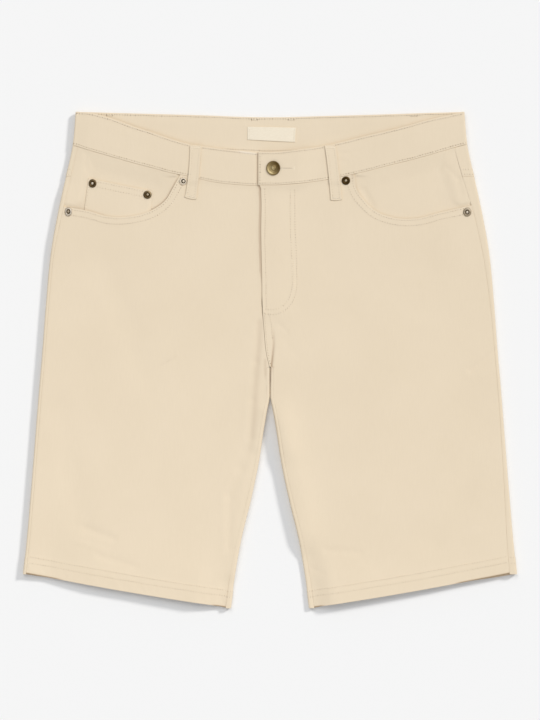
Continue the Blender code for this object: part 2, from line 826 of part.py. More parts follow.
def front_loop(number, loop):
    """A belt loop over the waistband, sewn down below it."""
    side = math.copysign(1, loop.top_x)
    length = loop.top_y - loop.low_y
    heights = []
    for share in LOOP_SHARES:
        y = loop.top_y - share * length
        x = mix(loop.top_x, loop.low_x, share**loop.bend)
        seam = waist_seam(side, abs(x))
        on_band = step(y, seam - LOOP_DROP[0], seam - LOOP_DROP[1])
        slack = LOOP_SLACK * math.sin(math.pi * min(share / LOOP_SLACK_END, 1.0))
        lift = band_lift(x) if side > 0 else 0.0
        heights.append(top_height(x, y) + on_band * (BAND_PROUD + slack + lift) + SEAM_GAP + CLOTH)
    down = np.array(LOOP_SHARES)[:, None]
    across = np.array([-0.5, 0.5])[None, :] * LOOP_WIDTH
    x = mix(loop.top_x, loop.low_x, down**loop.bend) + across
    y = loop.top_y - down * length + 0 * across
    z = np.array(heights)[:, None] + 0 * across
    return laid(f"belt_loop_{number}", x, y, z, CLOTH)


def back_loop(number, x_middle):
    """A belt loop on the outside of the back waistband, which is the underside here."""
    top = float(through(x_middle, column(BACK_TOP, "x"), column(BACK_TOP, "y"))) - BACK_LOOP_INSET
    low = float(back_seam(x_middle)) - BACK_LOOP_REACH
    half = LOOP_WIDTH / 2
    corners = ((x_middle - half, top), (x_middle + half, top), (x_middle + half, low), (x_middle - half, low))
    x, y = stretched(corners, rows=4, columns=3)
    return laid(f"belt_loop_{number}", x, y, np.full_like(x, CLOTH), CLOTH)


def back_pocket(side):
    """A patch pocket with a pointed lower edge, on the outside of the back."""
    across = np.linspace(0.0, 1.0, 5)
    h = mix(BACK_POCKET["inner"], BACK_POCKET["outer"], across)
    low = BACK_POCKET["bottom"] - BACK_POCKET["point"] * (1 - np.abs(2 * across - 1))
    down = np.linspace(0.0, 1.0, 5)[:, None]
    y = mix(BACK_POCKET["top"], low[None, :], down)
    taper = 1.0 - BACK_POCKET_TAPER * down
    middle = (BACK_POCKET["inner"] + BACK_POCKET["outer"]) / 2
    x = side * (middle + (h[None, :] - middle) * taper)
    return laid("back_pocket_" + SIDE_NAMES[side], x, y, np.full_like(x, CLOTH), CLOTH)


def label():
    """The plain woven label on the inside of the back waistband."""
    x, y = stretched(LABEL_CORNERS, rows=2, columns=5)
    z = under_height(x, y) + BAND_CLOTH + SEAM_GAP + LABEL_CLOTH
    return laid("label", x, y, z, LABEL_CLOTH, WOVEN_LABEL)


def turned(name, place, profile, segments):
    """A solid turned about the vertical axis at a place, from rings that start and end on the axis."""
    shape = bmesh.new()
    x, y, z = place
    rings = []
    for radius, height in profile:
        if radius == 0.0:
            rings.append([shape.verts.new((x * MM, y * MM, (z + height) * MM))])
            continue
        ring = []
        for i in range(segments):
            angle = 2 * math.pi * i / segments
            at = (x + radius * math.cos(angle), y + radius * math.sin(angle), z + height)
            ring.append(shape.verts.new(tuple(MM * value for value in at)))
        rings.append(ring)
    for lower, upper in zip(rings, rings[1:]):
        for i in range(segments):
            j = (i + 1) % segments
            low_edge = [lower[i % len(lower)], lower[j % len(lower)]]
            high_edge = [upper[j % len(upper)], upper[i % len(upper)]]
            shape.faces.new(list(dict.fromkeys(low_edge + high_edge)))
    mesh = bpy.data.meshes.new(name)
    shape.to_mesh(mesh)
    shape.free()
    return finished(name, mesh, BRASS, roughness=0.42, metallic=1.0)


def rivet(number, spot):
    """A domed rivet with a raised nub in a dished middle."""
    rest = float(top_height(spot.x, spot.y)) - spot.depth + SEAM_GAP
    return turned(f"rivet_{number}", (spot.x, spot.y, rest), RIVET_RINGS, segments=16)


def button():
    """The waist button: a rimmed head, and a shank through the buttonhole to the underlap."""
    rest = underlap_height() + SEAM_GAP
    head = overlap_height() + SEAM_GAP - rest
    shank = [Ring(0.0, 0.0), Ring(SHANK_RADIUS, 0.0), Ring(SHANK_RADIUS, head)]
    profile = shank + [Ring(ring.radius, head + ring.height) for ring in HEAD_RINGS]
    return turned("button", (*BUTTON_AT, rest), profile, segments=24)


def clear_scene():
    for obj in list(bpy.data.objects):
        bpy.data.objects.remove(obj, do_unlink=True)


def build():
    clear_scene()
    for side in (RIGHT, LEFT):
        front_panel(side)
        back_panel(side)
        yoke(side)
        pocket_facing(side)
        back_pocket(side)
    waistband()
    coin_pocket()
    fly_zip()
    label()
    for number, loop in enumerate(FRONT_LOOPS, start=1):
        front_loop(number, loop)
    for number, x_middle in enumerate(BACK_LOOPS_X, start=len(FRONT_LOOPS) + 1):
        back_loop(number, x_middle)
    for number, spot in enumerate(RIVETS, start=1):
        rivet(number, spot)
    button()


build()
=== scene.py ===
"""Looks of the bermuda shorts: fine cloth shells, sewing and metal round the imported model.

Shapes are worked out in millimetres in the part's own frame: +X is the wearer's left, +Y runs up to the
waist and +Z up from the surface. A half of the shorts is worked out in (h, y, z), where h is the distance
from the centre line towards that side, and placed with x = side * h. The forms are those of the solids;
what is added here is the cloth's rolled edges, seams, creases, puckers, weave and stitches.
"""

import math
from typing import NamedTuple

import bmesh
import bpy
import numpy as np
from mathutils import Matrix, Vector


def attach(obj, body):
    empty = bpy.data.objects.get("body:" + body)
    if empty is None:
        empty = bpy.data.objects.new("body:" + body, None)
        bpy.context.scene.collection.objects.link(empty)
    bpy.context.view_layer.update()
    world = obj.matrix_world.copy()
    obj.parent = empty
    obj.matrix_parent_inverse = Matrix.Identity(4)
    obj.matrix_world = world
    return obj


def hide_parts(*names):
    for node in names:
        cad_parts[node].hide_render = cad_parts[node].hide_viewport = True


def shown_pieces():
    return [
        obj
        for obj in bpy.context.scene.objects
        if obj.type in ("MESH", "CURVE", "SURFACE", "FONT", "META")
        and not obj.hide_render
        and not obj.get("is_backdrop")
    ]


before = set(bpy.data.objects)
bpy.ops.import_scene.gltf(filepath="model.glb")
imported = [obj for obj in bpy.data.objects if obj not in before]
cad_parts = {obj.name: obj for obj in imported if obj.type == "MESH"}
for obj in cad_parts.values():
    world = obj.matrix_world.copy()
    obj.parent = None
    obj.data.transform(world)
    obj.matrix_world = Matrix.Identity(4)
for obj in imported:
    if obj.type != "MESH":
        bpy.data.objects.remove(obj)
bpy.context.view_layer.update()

MM = 0.001
RIGHT = -1
LEFT = 1
SIDES = (RIGHT, LEFT)
SIDE_NAMES = {RIGHT: "right", LEFT: "left"}


def table(names, *rows):
    """Columns of measures, by name."""
    return dict(zip(names.split(), np.array(rows, float).T))


# ---------------------------------------------------------------- sizes of the solids

CLOTH = 1.0
HEM_CLOTH = 1.8
BAND_CLOTH = 2.2
LABEL_CLOTH = 0.8
SEAM_GAP = 0.3
LAYER_GAP = 0.25
HEM_DEPTH = 20.0
HEM_STEP = 1.5

TOP_LEVEL = 5.5
POCKET_SWELL = 0.6
SWELL_FROM = (40.0, 100.0)
SWELL_TO = (90.0, 150.0)
TOP_RANGE = (4.7, 6.15)
BAND_PROUD = 0.9
UNDER_LIFT = 1.3
WAIST_LIFT = (42.0, 22.0)
FLY_LIFT = 1.55
FLY_LIFT_FROM = (38.0, 38.0)
FLY_LIFT_TO = (4.0, 60.0)
OVERLAP_LIFT = (62.0, 30.0)
FACING_DEPTH = {RIGHT: 2.5, LEFT: 1.6}
FACING_FALL = (20.0, 28.0)
SEAM_DEPTH = CLOTH + LAYER_GAP

SIDE_FOLD = 3.0
CROTCH_FOLD = 1.8
CURL_LENGTH = 8.8
CURL_END = 2.5
FORK_CLEARANCE = 0.25

CENTRE_WAIST_BACK = 241.6
SIDE_YOKE = 216.4
CENTRE_YOKE = 190.0
SIDE_HEM = -251.3
INNER_HEM = -291.4
BACK_HEM_DROP = 1.2
HEM_BULGE = 1.5
BACK_HEM_POWER = 6

UNDERLAP_END = -22.0
OVERLAP_END = -14.0
BUTTON_AT = (3.8, 225.7)
BUTTON_RADIUS = 8.5
SHANK_RADIUS = 1.5
EYELET_RADIUS = 2.3
SLIT_HALF_WIDTH = 0.7
SLIT_END = 27.0
CLOSED_SLIT = 0.16

FACING_MARGIN = (12.0, 14.0)
BACK_POCKET = {"inner": 60.0, "outer": 190.0, "top": 165.0, "bottom": 26.0, "point": 14.0}
BACK_POCKET_LENGTH = 140.0
BACK_POCKET_TAPER = 0.06
LIFT_MARGIN = 26.0
LIFT_RAMP = 20.0
LOOP_WIDTH = 13.0
LOOP_SLACK = 0.5
LOOP_SLACK_END = 0.7
LOOP_DROP = (11.0, 3.5)
BACK_LOOP_INSET = 1.0
BACK_LOOP_REACH = 15.0
TACK_INSET = 3.4
BACK_LOOPS_X = (-189.0, -18.3, 24.8, 169.7)
LABEL_SIZE = (57.0, 16.0)
LABEL_CORNERS = ((-26.6, 275.0), (30.4, 273.8), (29.5, 256.7), (-26.6, 259.6))
RIVET_RADIUS = 4.8

# The silhouette by height, and how far inside it each side seam runs on the upper side.
LEVELS = table(
    "y half_width right_inset left_inset",
    (292.6, 229.0, 6.0, 15.5),
    (253.7, 232.5, 5.9, 15.3),
    (212.4, 241.5, 5.9, 13.8),
    (177.0, 249.2, 5.5, 10.5),
    (129.8, 257.8, 4.0, 8.0),
    (70.8, 263.7, 3.6, 5.0),
    (11.8, 268.2, 3.6, 3.8),
    (-47.2, 273.2, 3.6, 3.9),
    (-106.2, 277.9, 3.6, 4.6),
    (-165.2, 282.6, 3.6, 5.9),
    (-224.2, 287.9, 3.6, 8.0),
    (-252.5, 291.0, 3.5, 8.6),
)

# The space between the legs by height: half its width, the inner fold and the inseam on top.
FORK = table(
    "y half_gap fold inseam_inset",
    (-12.0, 0.0, CROTCH_FOLD, 3.6),
    (-45.5, 0.3, 2.6, 4.0),
    (-59.0, 3.0, 2.8, 4.1),
    (-83.0, 7.1, SIDE_FOLD, 4.3),
    (-118.0, 12.4, SIDE_FOLD, 4.5),
    (-165.0, 22.2, SIDE_FOLD, 4.9),
    (-212.0, 33.6, SIDE_FOLD, 5.3),
    (-260.0, 41.9, SIDE_FOLD, 5.8),
    (-292.6, 46.0, SIDE_FOLD, 6.0),
)

# How far the backs have curled up between the legs, from 0 flat to 1 round to the upper side.
CROTCH = table(
    "y curl",
    (-17.0, 1.0),
    (-8.7, 1.0),
    (-8.0, 0.7),
    (2.0, 0.3),
    (12.0, 0.0),
)

# Where the two fronts end: the left one's edge, and the right one's under or beside it.
CENTRE_FRONT = table(
    "y left_x right_x",
    (-8.0, -0.7, -1.0),
    (10.0, -4.6, -4.9),
    (30.0, -6.5, -6.8),
    (55.0, -8.5, -8.8),
    (72.0, -9.2, -9.5),
    (92.0, -9.4, -4.0),
    (150.0, -10.6, -5.0),
    (196.0, -10.6, -5.0),
    (203.0, -11.1, -6.0),
    (206.0, -12.6, -6.5),
)

# The front waistband by distance from the centre line: its lower and upper edge on each side.
WAIST = table(
    "h right_seam left_seam right_top left_top",
    (10.0, 204.9, 206.0, 243.2, 244.9),
    (40.0, 206.6, 208.6, 247.1, 248.8),
    (65.0, 209.4, 212.0, 249.9, 252.5),
    (98.0, 216.8, 218.9, 254.9, 260.2),
    (115.0, 220.0, 222.7, 259.8, 264.5),
    (140.0, 226.7, 229.3, 268.4, 270.3),
    (160.0, 231.9, 234.1, 274.8, 275.3),
    (180.0, 237.6, 239.3, 282.3, 281.1),
    (195.0, 241.9, 243.7, 287.0, 284.8),
    (210.0, 246.2, 248.1, 290.8, 288.2),
    (229.0, 252.3, 253.5, 292.6, 292.4),
)

# The upper edge of the back waistband.
BACK_TOP = table(
    "x y",
    (-229.0, 292.6),
    (-142.0, 290.2),
    (-71.0, 288.2),
    (-35.0, 286.7),
    (0.0, 286.2),
    (71.0, 287.8),
    (142.0, 289.8),
    (177.0, 291.0),
    (229.0, 292.4),
)

# Points on the pocket mouths, from the waist to the side seam.
POCKET_MOUTH = table(
    "right_h right_y left_h left_y",
    (106.0, 219.0, 98.3, 219.0),
    (113.0, 205.5, 101.0, 204.0),
    (124.0, 187.5, 110.0, 189.5),
    (140.0, 176.3, 126.0, 175.0),
    (164.0, 169.6, 146.0, 168.0),
    (190.0, 169.3, 170.0, 166.8),
    (216.0, 176.2, 202.0, 174.5),
    (243.0, 180.6, 237.0, 182.2),
)

# Soft troughs (negative) and ridges of the upper side: x and y of both ends, width and height.
# The large ones, which the solids have too.
CREASES = (
    (-194, 112, -171, 47, 15, -0.7),
    (-171, 47, -142, -35, 15, -0.6),
    (-246, -62, -236, -130, 13, -0.5),
    (-236, -130, -222, -190, 13, -0.7),
    (-222, -190, -183, -236, 13, -0.5),
    (256, -83, 224, -165, 14, -0.6),
    (224, -165, 189, -212, 14, -0.7),
    (189, -212, 130, -243, 14, -0.5),
    (-110, -60, -120, -180, 40, 0.35),
    (120, -20, 130, -150, 45, 0.35),
)

# Further ones, along the seams, in the pockets, round the crotch and on the legs.
WRINKLES = (
    (-218, -198, -185, -210, 4.5, -0.7),
    (-202, -231, -159, -243, 4.0, -0.6),
    (-228, -214, -196, -224, 3.0, 0.25),
    (236, -12, 266, 12, 3.5, -0.7),
    (240, -24, 262, -9, 3.0, 0.2),
    (48, -245, 64, -252, 2.6, -0.35),
    (66, -224, 106, -227, 3.6, -0.6),
    (-12.5, 44, -16.5, -2, 3.8, -0.6),
    (-16.5, -2, -21, -47, 4.0, -0.7),
    (-21, -47, -23, -92, 4.0, -0.6),
    (-23, -92, -34, -128, 7.0, -0.6),
    (-34, -128, -48, -160, 5.0, -0.5),
    (-48, -160, -48.5, -222, 4.2, -0.5),
    (-56, -158, -55, -228, 4.2, 0.2),
    (-26, -118, -46, -268, 9.0, 0.7),
    (-20, -30, -30, -84, 6.0, 0.4),
    (15, -64, 41, -202, 18.0, 2.7),
    (-229, 296, -240, 214, 13.0, -1.5),
    (13, -74, 20, -104, 13.0, 2.1),
    (-8, -62, -17, -100, 9.0, 1.6),
    (44, -234, 52, -292, 12.0, -2.4),
    (-50, -264, -57, -292, 9.0, -2.2),
    (238, -132, 189, -212, 13.0, -0.25),
    (189, -212, 130, -243, 12.0, -0.2),
    (11, 42, 20, 33, 2.4, -0.35),
    (14, 28, 30, 6, 6.0, -0.25),
    (-217, 244, -217, 225, 2.6, -0.35),
    (110, 200, 121, 181, 4.0, -0.7),
    (209, 226, 222, 213, 3.0, -0.35),
    (222, 213, 225, 196, 3.0, -0.3),
    (198, 190, 206, 178, 9.0, -0.35),
    (79, 244, 94, 243, 1.6, -0.3),
    (79, 236, 90, 233, 1.8, -0.2),
    (104, 100, 96, 20, 16.0, -0.3),
    (60, 160, 74, 96, 14.0, -0.25),
    (-60, 165, -52, 80, 14.0, -0.25),
    (180, 130, 196, 60, 18.0, -0.25),
    (-60, -40, -84, -130, 16.0, -0.25),
    (70, -90, 62, -170, 15.0, -0.25),
)

# The scales of the cloth's general unevenness: the size of a bump, its height, and a seed.
TOP_WAVES = ((64.0, 0.14, 11), (23.0, 0.06, 12), (9.0, 0.02, 13))
UNDER_WAVES = ((58.0, 0.12, 21), (21.0, 0.06, 22))

# Soft hollows of the underside, open towards the floor, given in the same way as the creases.
UNDER_CREASES = (
    (-232, 120, -196, 40, 12.0, 0.5),
    (-30, 20, -74, -38, 8.0, 0.55),
    (26, 26, 66, -30, 7.0, 0.5),
    (-10, 60, -46, 18, 5.0, 0.35),
    (-238, -60, -226, -150, 11.0, 0.5),
    (236, -90, 214, -178, 12.0, 0.55),
    (-92, -120, -110, -210, 13.0, 0.4),
    (112, -70, 98, -150, 14.0, 0.4),
    (222, 60, 240, 4, 9.0, 0.45),
)

# Painted shade in soft folds and beside the left pocket's mouth: the paths, how wide the painted shade is and
# how dark, up to 1.
VALLEY = ((-11.8, 44.0), (-12.6, 18.0), (-14.8, -6.0), (-16.6, -32.0), (-17.9, -60.0), (-24.0, -128.0))
FRONT_SHADES = (
    (VALLEY, 4.0, 0.3),
    (((-5.7, 0.0), (-5.3, -26.0)), 1.5, 0.5),
    (((97.2, 218.0), (97.4, 206.0)), 1.0, 0.8),
)
# Painted shade where the backs meet between the legs.
CROTCH_SLOT = (((2.1, -6.0), (0.7, -17.7), (0.3, -34.0)), 1.1, 1.0)
# Painted shade where the left side seam gapes a little, above the yoke seam's end.
SIDE_SEAM_GAPE = (((225.6, 224.5), (228.0, 212.5)), 1.1, 0.6)


class Rivet(NamedTuple):
    """A rivet's place, how far below the upper side the cloth it sits on lies, and its metal."""

    x: float
    y: float
    depth: float
    metal: str


COIN_RIVET_DEPTH = FACING_DEPTH[RIGHT] - CLOTH - LAYER_GAP
RIVETS = (
    Rivet(-209.0, 208.0, COIN_RIVET_DEPTH, "antique_brass"),
    Rivet(-144.3, 194.7, COIN_RIVET_DEPTH, "antique_brass"),
    Rivet(-237.4, 174.6, 0.0, "dull_brass"),
    Rivet(-102.4, 210.4, 0.0, "pale_brass"),
    Rivet(89.4, 211.2, 0.0, "antique_brass"),
    Rivet(232.2, 174.2, 0.0, "dull_brass"),
)

COIN_SIZE = (76.0, 42.0)
COIN_CORNERS = ((-214.0, 214.4), (-138.4, 198.7), (-141.4, 164.0), (-220.0, 167.0))


class FrontLoop(NamedTuple):
    """A belt loop on the front: the middle of its upper and lower end, how late (above 1) it bends, and
    how much lower its lower end is on the left than on the right."""

    top_x: float
    top_y: float
    low_x: float
    low_y: float
    bend: float
    slant: float


FRONT_LOOPS = (
    FrontLoop(-87.8, 252.6, -93.6, 190.6, 1.8, -2.6),
    FrontLoop(70.6, 252.6, 78.2, 188.8, 0.85, 0.4),
)

# The inner of the two curved rows that hold the fly facing.
FLY_CURVE = (
    (23.6, 203.0),
    (24.1, 153.0),
    (26.0, 106.0),
    (25.3, 82.6),
    (21.2, 70.6),
    (14.2, 62.8),
    (4.6, 59.2),
    (-5.0, 59.6),
)

# ---------------------------------------------------------------- sizes of the finer form

SEWN_GAP = 0.06
EDGE_ROLL = 0.45
SEWN_ROLL = 0.15
SQUARENESS = 0.74
BAND_HEIGHT = 38.0
BAND_REACH = 240.0
BAND_ROLL = 0.9
BAND_EDGE_ROLL = 0.6
BAND_FILL = 0.18
BUTTON_PRESS = 0.25
UNDERLAP_PRESS = 0.15
# How dark the painted shadow beside the overlap's end, on the underlap, is.
UNDERLAP_PAINTED_SHADOW = 0.55
# A paler colour painted along the underlap's upper edge, beside the overlap.
UNDERLAP_PALER = 0.9
UNDERLAP_PALER_FROM = (-40.0, -32.0)
PITCH = 2.6
TORSO_PITCH = 1.8
FINE_PITCH = 1.3
EDGE_STEPS = (0.0, 0.08, 0.2, 0.42, 0.8, 1.4, 2.1, 2.9, 3.8, 5.0)
STRAP_STEPS = EDGE_STEPS[:8]
ROW_STEPS = EDGE_STEPS + (6.2, 7.2, 8.0, 8.8, 9.8, 11.2, 12.8)
HEM_STEPS = (
    *EDGE_STEPS,
    *(6.4, 8.0, 9.6, 11.2, 12.4, 13.0, 13.6, 14.8, 16.4, 18.0, 19.4, 20.0, 20.6, 21.8, 23.4),
)
CORNER_STEPS = (0.0, 0.3, 0.8, 1.6)
YOKE_STEPS = (0.0, 0.002, 0.006, 0.012, 0.03, 0.06)
YOKE_LENGTH = 58.0
FACING_STEPS = (0.0, 0.001, 0.003, 0.006, 0.012)
GUIDE = np.linspace(0.0, 1.0, 60)
FLY_STEPS = (*EDGE_STEPS, *np.arange(6.2, 46.0, FINE_PITCH))
WAIST_RISE = 0.45
WAIST_RISE_WIDTH = 3.0
# How far the left front follows the waistband up to its overlap.
CLIMB = 0.8
CLIMB_WIDTH = 7.0
INSEAM_FROM = (-205.0, -245.0)
INSEAM_TOP = (-20.0, -8.6)
INSEAM_SHOWN = {RIGHT: 0.25, LEFT: 1.0}
INSEAM_ROLL = 0.04
CROTCH_ROLL = 0.3
CROTCH_ROLL_TO = (50.0, 66.0)
FLY_TACK = ((27.2, 118.0), (28.3, 100.0), (28.1, 82.0))
# The fold beside the crotch seam, pressed in and darkened with painted shade.
CROTCH_PLEAT = ((3.2, 40.0), (4.2, 28.0), (4.2, 18.0), (3.2, 6.0), (2.1, -4.0), (1.2, -12.0))
PLEAT_DEEPENS = (44.0, 12.0)
PLEAT_DEPTH = 0.8
PLEAT_WIDTH = 1.3
PLEAT_PAINTED_SHADE = (1.6, 0.9)
PLEAT_FADES = (-4.0, 20.0)
PLEAT_PAINTED_SHADE_WIDTH = 1.2
FLY_RECESS_FROM = 62.0
FLY_RECESS_TO = 120.0
FLY_RECESS_RISE = 0.42
# The painted shadow of the fly's edge on the right front: how far from the edge it ends and where it is full,
# and how much narrower it gets lower down, over which heights.
FLY_PAINTED_SHADOW = (3.1, 2.3)
FLY_TAPER = 2.4
FLY_TAPER_FADES = (110.0, 80.0)
# The painted shadow of the front's edge on the right facing: where it ends and where it is full, away from
# the mouth, and how dark it is.
MOUTH_PAINTED_SHADOW = (1.9, 1.0)
MOUTH_PAINTED_SHADOW_STRENGTH = 0.8
BESIDE_COIN_PAINTED_SHADE = 0.22
FACING_RISE = {RIGHT: 1.15, LEFT: 1.25}
FACING_WAIST_RISE = 0.35
BACK_BAND_RISE = 1.3
# Heights that tell the upper side, the front waistband, its overlap and the back one apart.
SHADE_ABOVE = 2.0
TOP_FROM = 4.0
OVERLAP_LEVEL = (7.5, 8.0)
BACK_BELOW = 4.5
YOKE_RISE = 1.4
CRUMPLED_FROM = (4.0, 16.0)
INNER_SKIP = 4

STITCH = 3.1
STITCH_SHARE = 0.68
THREAD_RADIUS = 0.3
HOLE_RADIUS = 0.43
OPEN_HOLE = 0.43
BAND_HOLE = 0.6
WANDER = 0.25
ROW_PITCH = 1.5
FIRST_ROW = 2.2
SECOND_ROW = 8.4
PAIR = (FIRST_ROW, SECOND_ROW)
# The waistband's rows, on its outer and on its inner face.
BAND_ROWS = ({"top": 2.2, "low": 2.2}, {"top": 2.2, "low": 4.6})
HEM_ROWS = (13.0, 20.0)
# The back's hem shows below the front's at the sides and at the inner legs, over these shares of its width.
BACK_HEM_SHOWS = {RIGHT: (0.26, 0.10), LEFT: (0.38, 0.12)}
BACK_HEM_TUCK = 3.0
# The front hems' lower edges get painted shade there, over these shares, where the back hem's shaded inside
# would show.
HEM_SHADED = {RIGHT: (0.2, 0.08), LEFT: (0.3, 0.06)}
HEM_PAINTED_SHADE = 2.0
HEM_PAINTED_SHADE_WIDTH = 1.2
# The hems' rise on each side, at shares of the way from the side to the inner leg.
HEM_LIFT = {
    RIGHT: ((0.0, 0.12, 0.24, 0.34, 0.55, 0.85, 0.91, 1.0), (-1.4, -1.6, 0.2, 1.5, 1.6, 2.7, 0.6, -0.6)),
    LEFT: ((0.0, 0.2, 0.4, 0.5, 0.8, 0.92, 1.0), (0.5, 0.3, 1.5, 2.0, 3.3, 3.6, 2.4)),
}
HEM_LIFT_FADE = (75.0, 8.0)
HEM_LIFT_ENDS = 0.12
# The twist that folding leaves in a hem: the size, slant and height of its ripples, and how far they vary.
ROPE_SIZE = 4.2
ROPE_SLANT = 0.7
ROPE_HEIGHT = 0.2
ROPE_PATCH = 38.0
COIN_ROW = 1.6
LABEL_ROW = 1.8
STRAP_ROW = 2.6
STRAP_TACKS = {"top": 3.2, "low": 2.6}
FLY_EDGE_ROW = 4.6
FLY_EDGE_FROM_TO = (204.0, 60.0)
# The crotch seam's rows: where they begin and end, and how far from it they run.
CROTCH_SEAM_FROM_TO = (58.0, -4.0)
CROTCH_FAR_FROM_TO = (57.0, 26.0)
CROTCH_NEAR_ROW = 2.0
CROTCH_FAR_ROW = (7.6, 9.2)
FLY_ROW_SPACE = 5.6
GROOVE_DEPTH = 0.045
GROOVE_WIDTH = 0.9
# How dark the painted shade along a stitch row is.
ROW_PAINTED_SHADE = 0.04
SEAM_PRESS = 0.12
SEAM_WIDTH = 1.6
# How wide the painted shade along a seam is.
SEAM_PAINTED_SHADE_WIDTH = 1.0
PUCKER_SIZE = 5.5
PUCKER_REACH = 7.0
PUCKER_STRETCH = 3.0
ALLOWANCE_SOFT = 1.2
SHARP_ANGLE = 55.0

# ---------------------------------------------------------------- the form, as the solids have it


def through(at, knots, values):
    """A smooth curve through the knots, flat outside them."""
    order = np.argsort(knots)
    knots = np.asarray(knots, float)[order]
    values = np.asarray(values, float)[order]
    slopes = np.gradient(values, knots)
    at = np.clip(at, knots[0], knots[-1])
    i = np.clip(np.searchsorted(knots, at) - 1, 0, len(knots) - 2)
    span = knots[i + 1] - knots[i]
    s = (at - knots[i]) / span
    start = (2 * s**3 - 3 * s**2 + 1) * values[i] + (s**3 - 2 * s**2 + s) * span * slopes[i]
    end = (3 * s**2 - 2 * s**3) * values[i + 1] + (s**3 - s**2) * span * slopes[i + 1]
    return start + end


def step(x, low, high):
    """0 at low, 1 at high, smooth between, for low < high or the other way round."""
    s = np.clip((x - low) / (high - low), 0.0, 1.0)
    return s * s * (3 - 2 * s)


def bell(away, width):
    """1 on the line itself, falling off softly over about that width."""
    return np.exp(-((away / width) ** 2))


def mix(a, b, share):
    return a + (b - a) * share


def soft_clip(z, low, high, blend=0.12):
    """z kept between two levels, turning smoothly where it meets them."""
    z = low + blend * np.logaddexp(0.0, (z - low) / blend)
    return high - blend * np.logaddexp(0.0, (high - z) / blend)


def bumps(u, v, size, seed):
    """Smooth random heights from -1 to 1, about that size across."""
    cells = 96
    heights = np.random.default_rng(seed).uniform(-1.0, 1.0, (cells, cells))
    u = np.asarray(u, float) / size
    v = np.asarray(v, float) / size
    i = np.floor(u).astype(int)
    j = np.floor(v).astype(int)
    s = step(u - i, 0.0, 1.0)
    t = step(v - j, 0.0, 1.0)
    near = mix(heights[i % cells, j % cells], heights[(i + 1) % cells, j % cells], s)
    far = mix(heights[i % cells, (j + 1) % cells], heights[(i + 1) % cells, (j + 1) % cells], s)
    return mix(near, far, t)


def unevenness(waves, x, y):
    return sum(height * bumps(x, y, size, seed) for size, height, seed in waves)


def half_width(y):
    return through(y, LEVELS["y"], LEVELS["half_width"])


def seam_inset(side, y):
    return through(y, LEVELS["y"], LEVELS[SIDE_NAMES[side] + "_inset"])


def side_seam(side, y):
    """Where the side seam runs on the upper side."""
    return half_width(y) - seam_inset(side, y)


def fork_value(name, y):
    return np.maximum(through(y, FORK["y"], FORK[name]), 0.0)


def curl_at(y):
    return np.interp(y, CROTCH["y"], CROTCH["curl"])


def waist_seam(side, h):
    return through(h, WAIST["h"], WAIST[SIDE_NAMES[side] + "_seam"])


def band_top(side, h):
    return through(h, WAIST["h"], WAIST[SIDE_NAMES[side] + "_top"])


def back_top(x):
    return through(x, BACK_TOP["x"], BACK_TOP["y"])


def corner_seam(side):
    return WAIST[SIDE_NAMES[side] + "_seam"][-1]


def back_seam(x):
    """The lower edge of the back waistband."""
    share = np.clip(np.abs(x) / WAIST["h"][-1], 0.0, 1.0)
    corner = np.where(np.asarray(x) < 0, corner_seam(RIGHT), corner_seam(LEFT))
    return mix(CENTRE_WAIST_BACK, corner, share)


def creased(z, creases, x, y):
    """The heights with creases added to them."""
    for x0, y0, x1, y1, width, height in creases:
        dx = x1 - x0
        dy = y1 - y0
        share = np.clip(((x - x0) * dx + (y - y0) * dy) / (dx * dx + dy * dy), 0.0, 1.0)
        z = z + height * bell(np.hypot(x - x0 - share * dx, y - y0 - share * dy), width)
    return z


def top_height(x, y):
    """The outer face of a single layer on the upper side, with all its creases."""
    x = np.asarray(x, float)
    y = np.asarray(y, float)
    swell = step(np.abs(x), SWELL_FROM[0], SWELL_TO[0]) * step(y, SWELL_FROM[1], SWELL_TO[1])
    z = TOP_LEVEL + POCKET_SWELL * swell
    z = soft_clip(creased(z, CREASES, x, y), *TOP_RANGE)
    return creased(z, WRINKLES, x, y) + unevenness(TOP_WAVES, x, y)


def fly_lift(x, y):
    """How far the left front is raised by the layers of the fly beneath it."""
    return FLY_LIFT * step(x, FLY_LIFT_FROM[0], FLY_LIFT_TO[0]) * step(y, FLY_LIFT_FROM[1], FLY_LIFT_TO[1])


def band_lift(x):
    """How far the overlapping end of the waistband is raised by the underlap."""
    return (BAND_CLOTH + SEAM_GAP) * step(x, *OVERLAP_LIFT)


def under_height(x, y):
    """The outer face of the underside, raised over the back pockets and the back belt loops."""
    h = np.abs(np.asarray(x, float))
    y = np.asarray(y, float)
    outside_h = np.maximum(BACK_POCKET["inner"] - h, h - BACK_POCKET["outer"])
    outside_y = np.maximum(BACK_POCKET["bottom"] - BACK_POCKET["point"] - y, y - BACK_POCKET["top"])
    edge = LIFT_MARGIN + LIFT_RAMP
    pocket = step(outside_h, edge, LIFT_MARGIN) * step(outside_y, edge, LIFT_MARGIN)
    waist = step(back_seam(x) - y, *WAIST_LIFT)
    return UNDER_LIFT * np.maximum(pocket, waist)


def facing_depth(side, h, y):
    """How far the pocket facing lies below the upper side."""
    inside_seam = step(side_seam(side, y) - h, 0.0, FACING_FALL[0])
    below_waist = step(waist_seam(side, h) - y, 0.0, FACING_FALL[1])
    return SEAM_DEPTH + (FACING_DEPTH[side] - SEAM_DEPTH) * below_waist * inside_seam


def parallel(path, thickness):
    """The path in (h, z), moved inwards by the thickness, with mitred corners."""
    steps = np.diff(path, axis=0)
    steps /= np.linalg.norm(steps, axis=1)[:, None]
    normals = np.column_stack([-steps[:, 1], steps[:, 0]])
    before = np.vstack([normals[:1], normals])
    after = np.vstack([normals, normals[-1:]])
    mitre = (before + after) / (1.0 + np.sum(before * after, axis=1))[:, None]
    return path - thickness * mitre


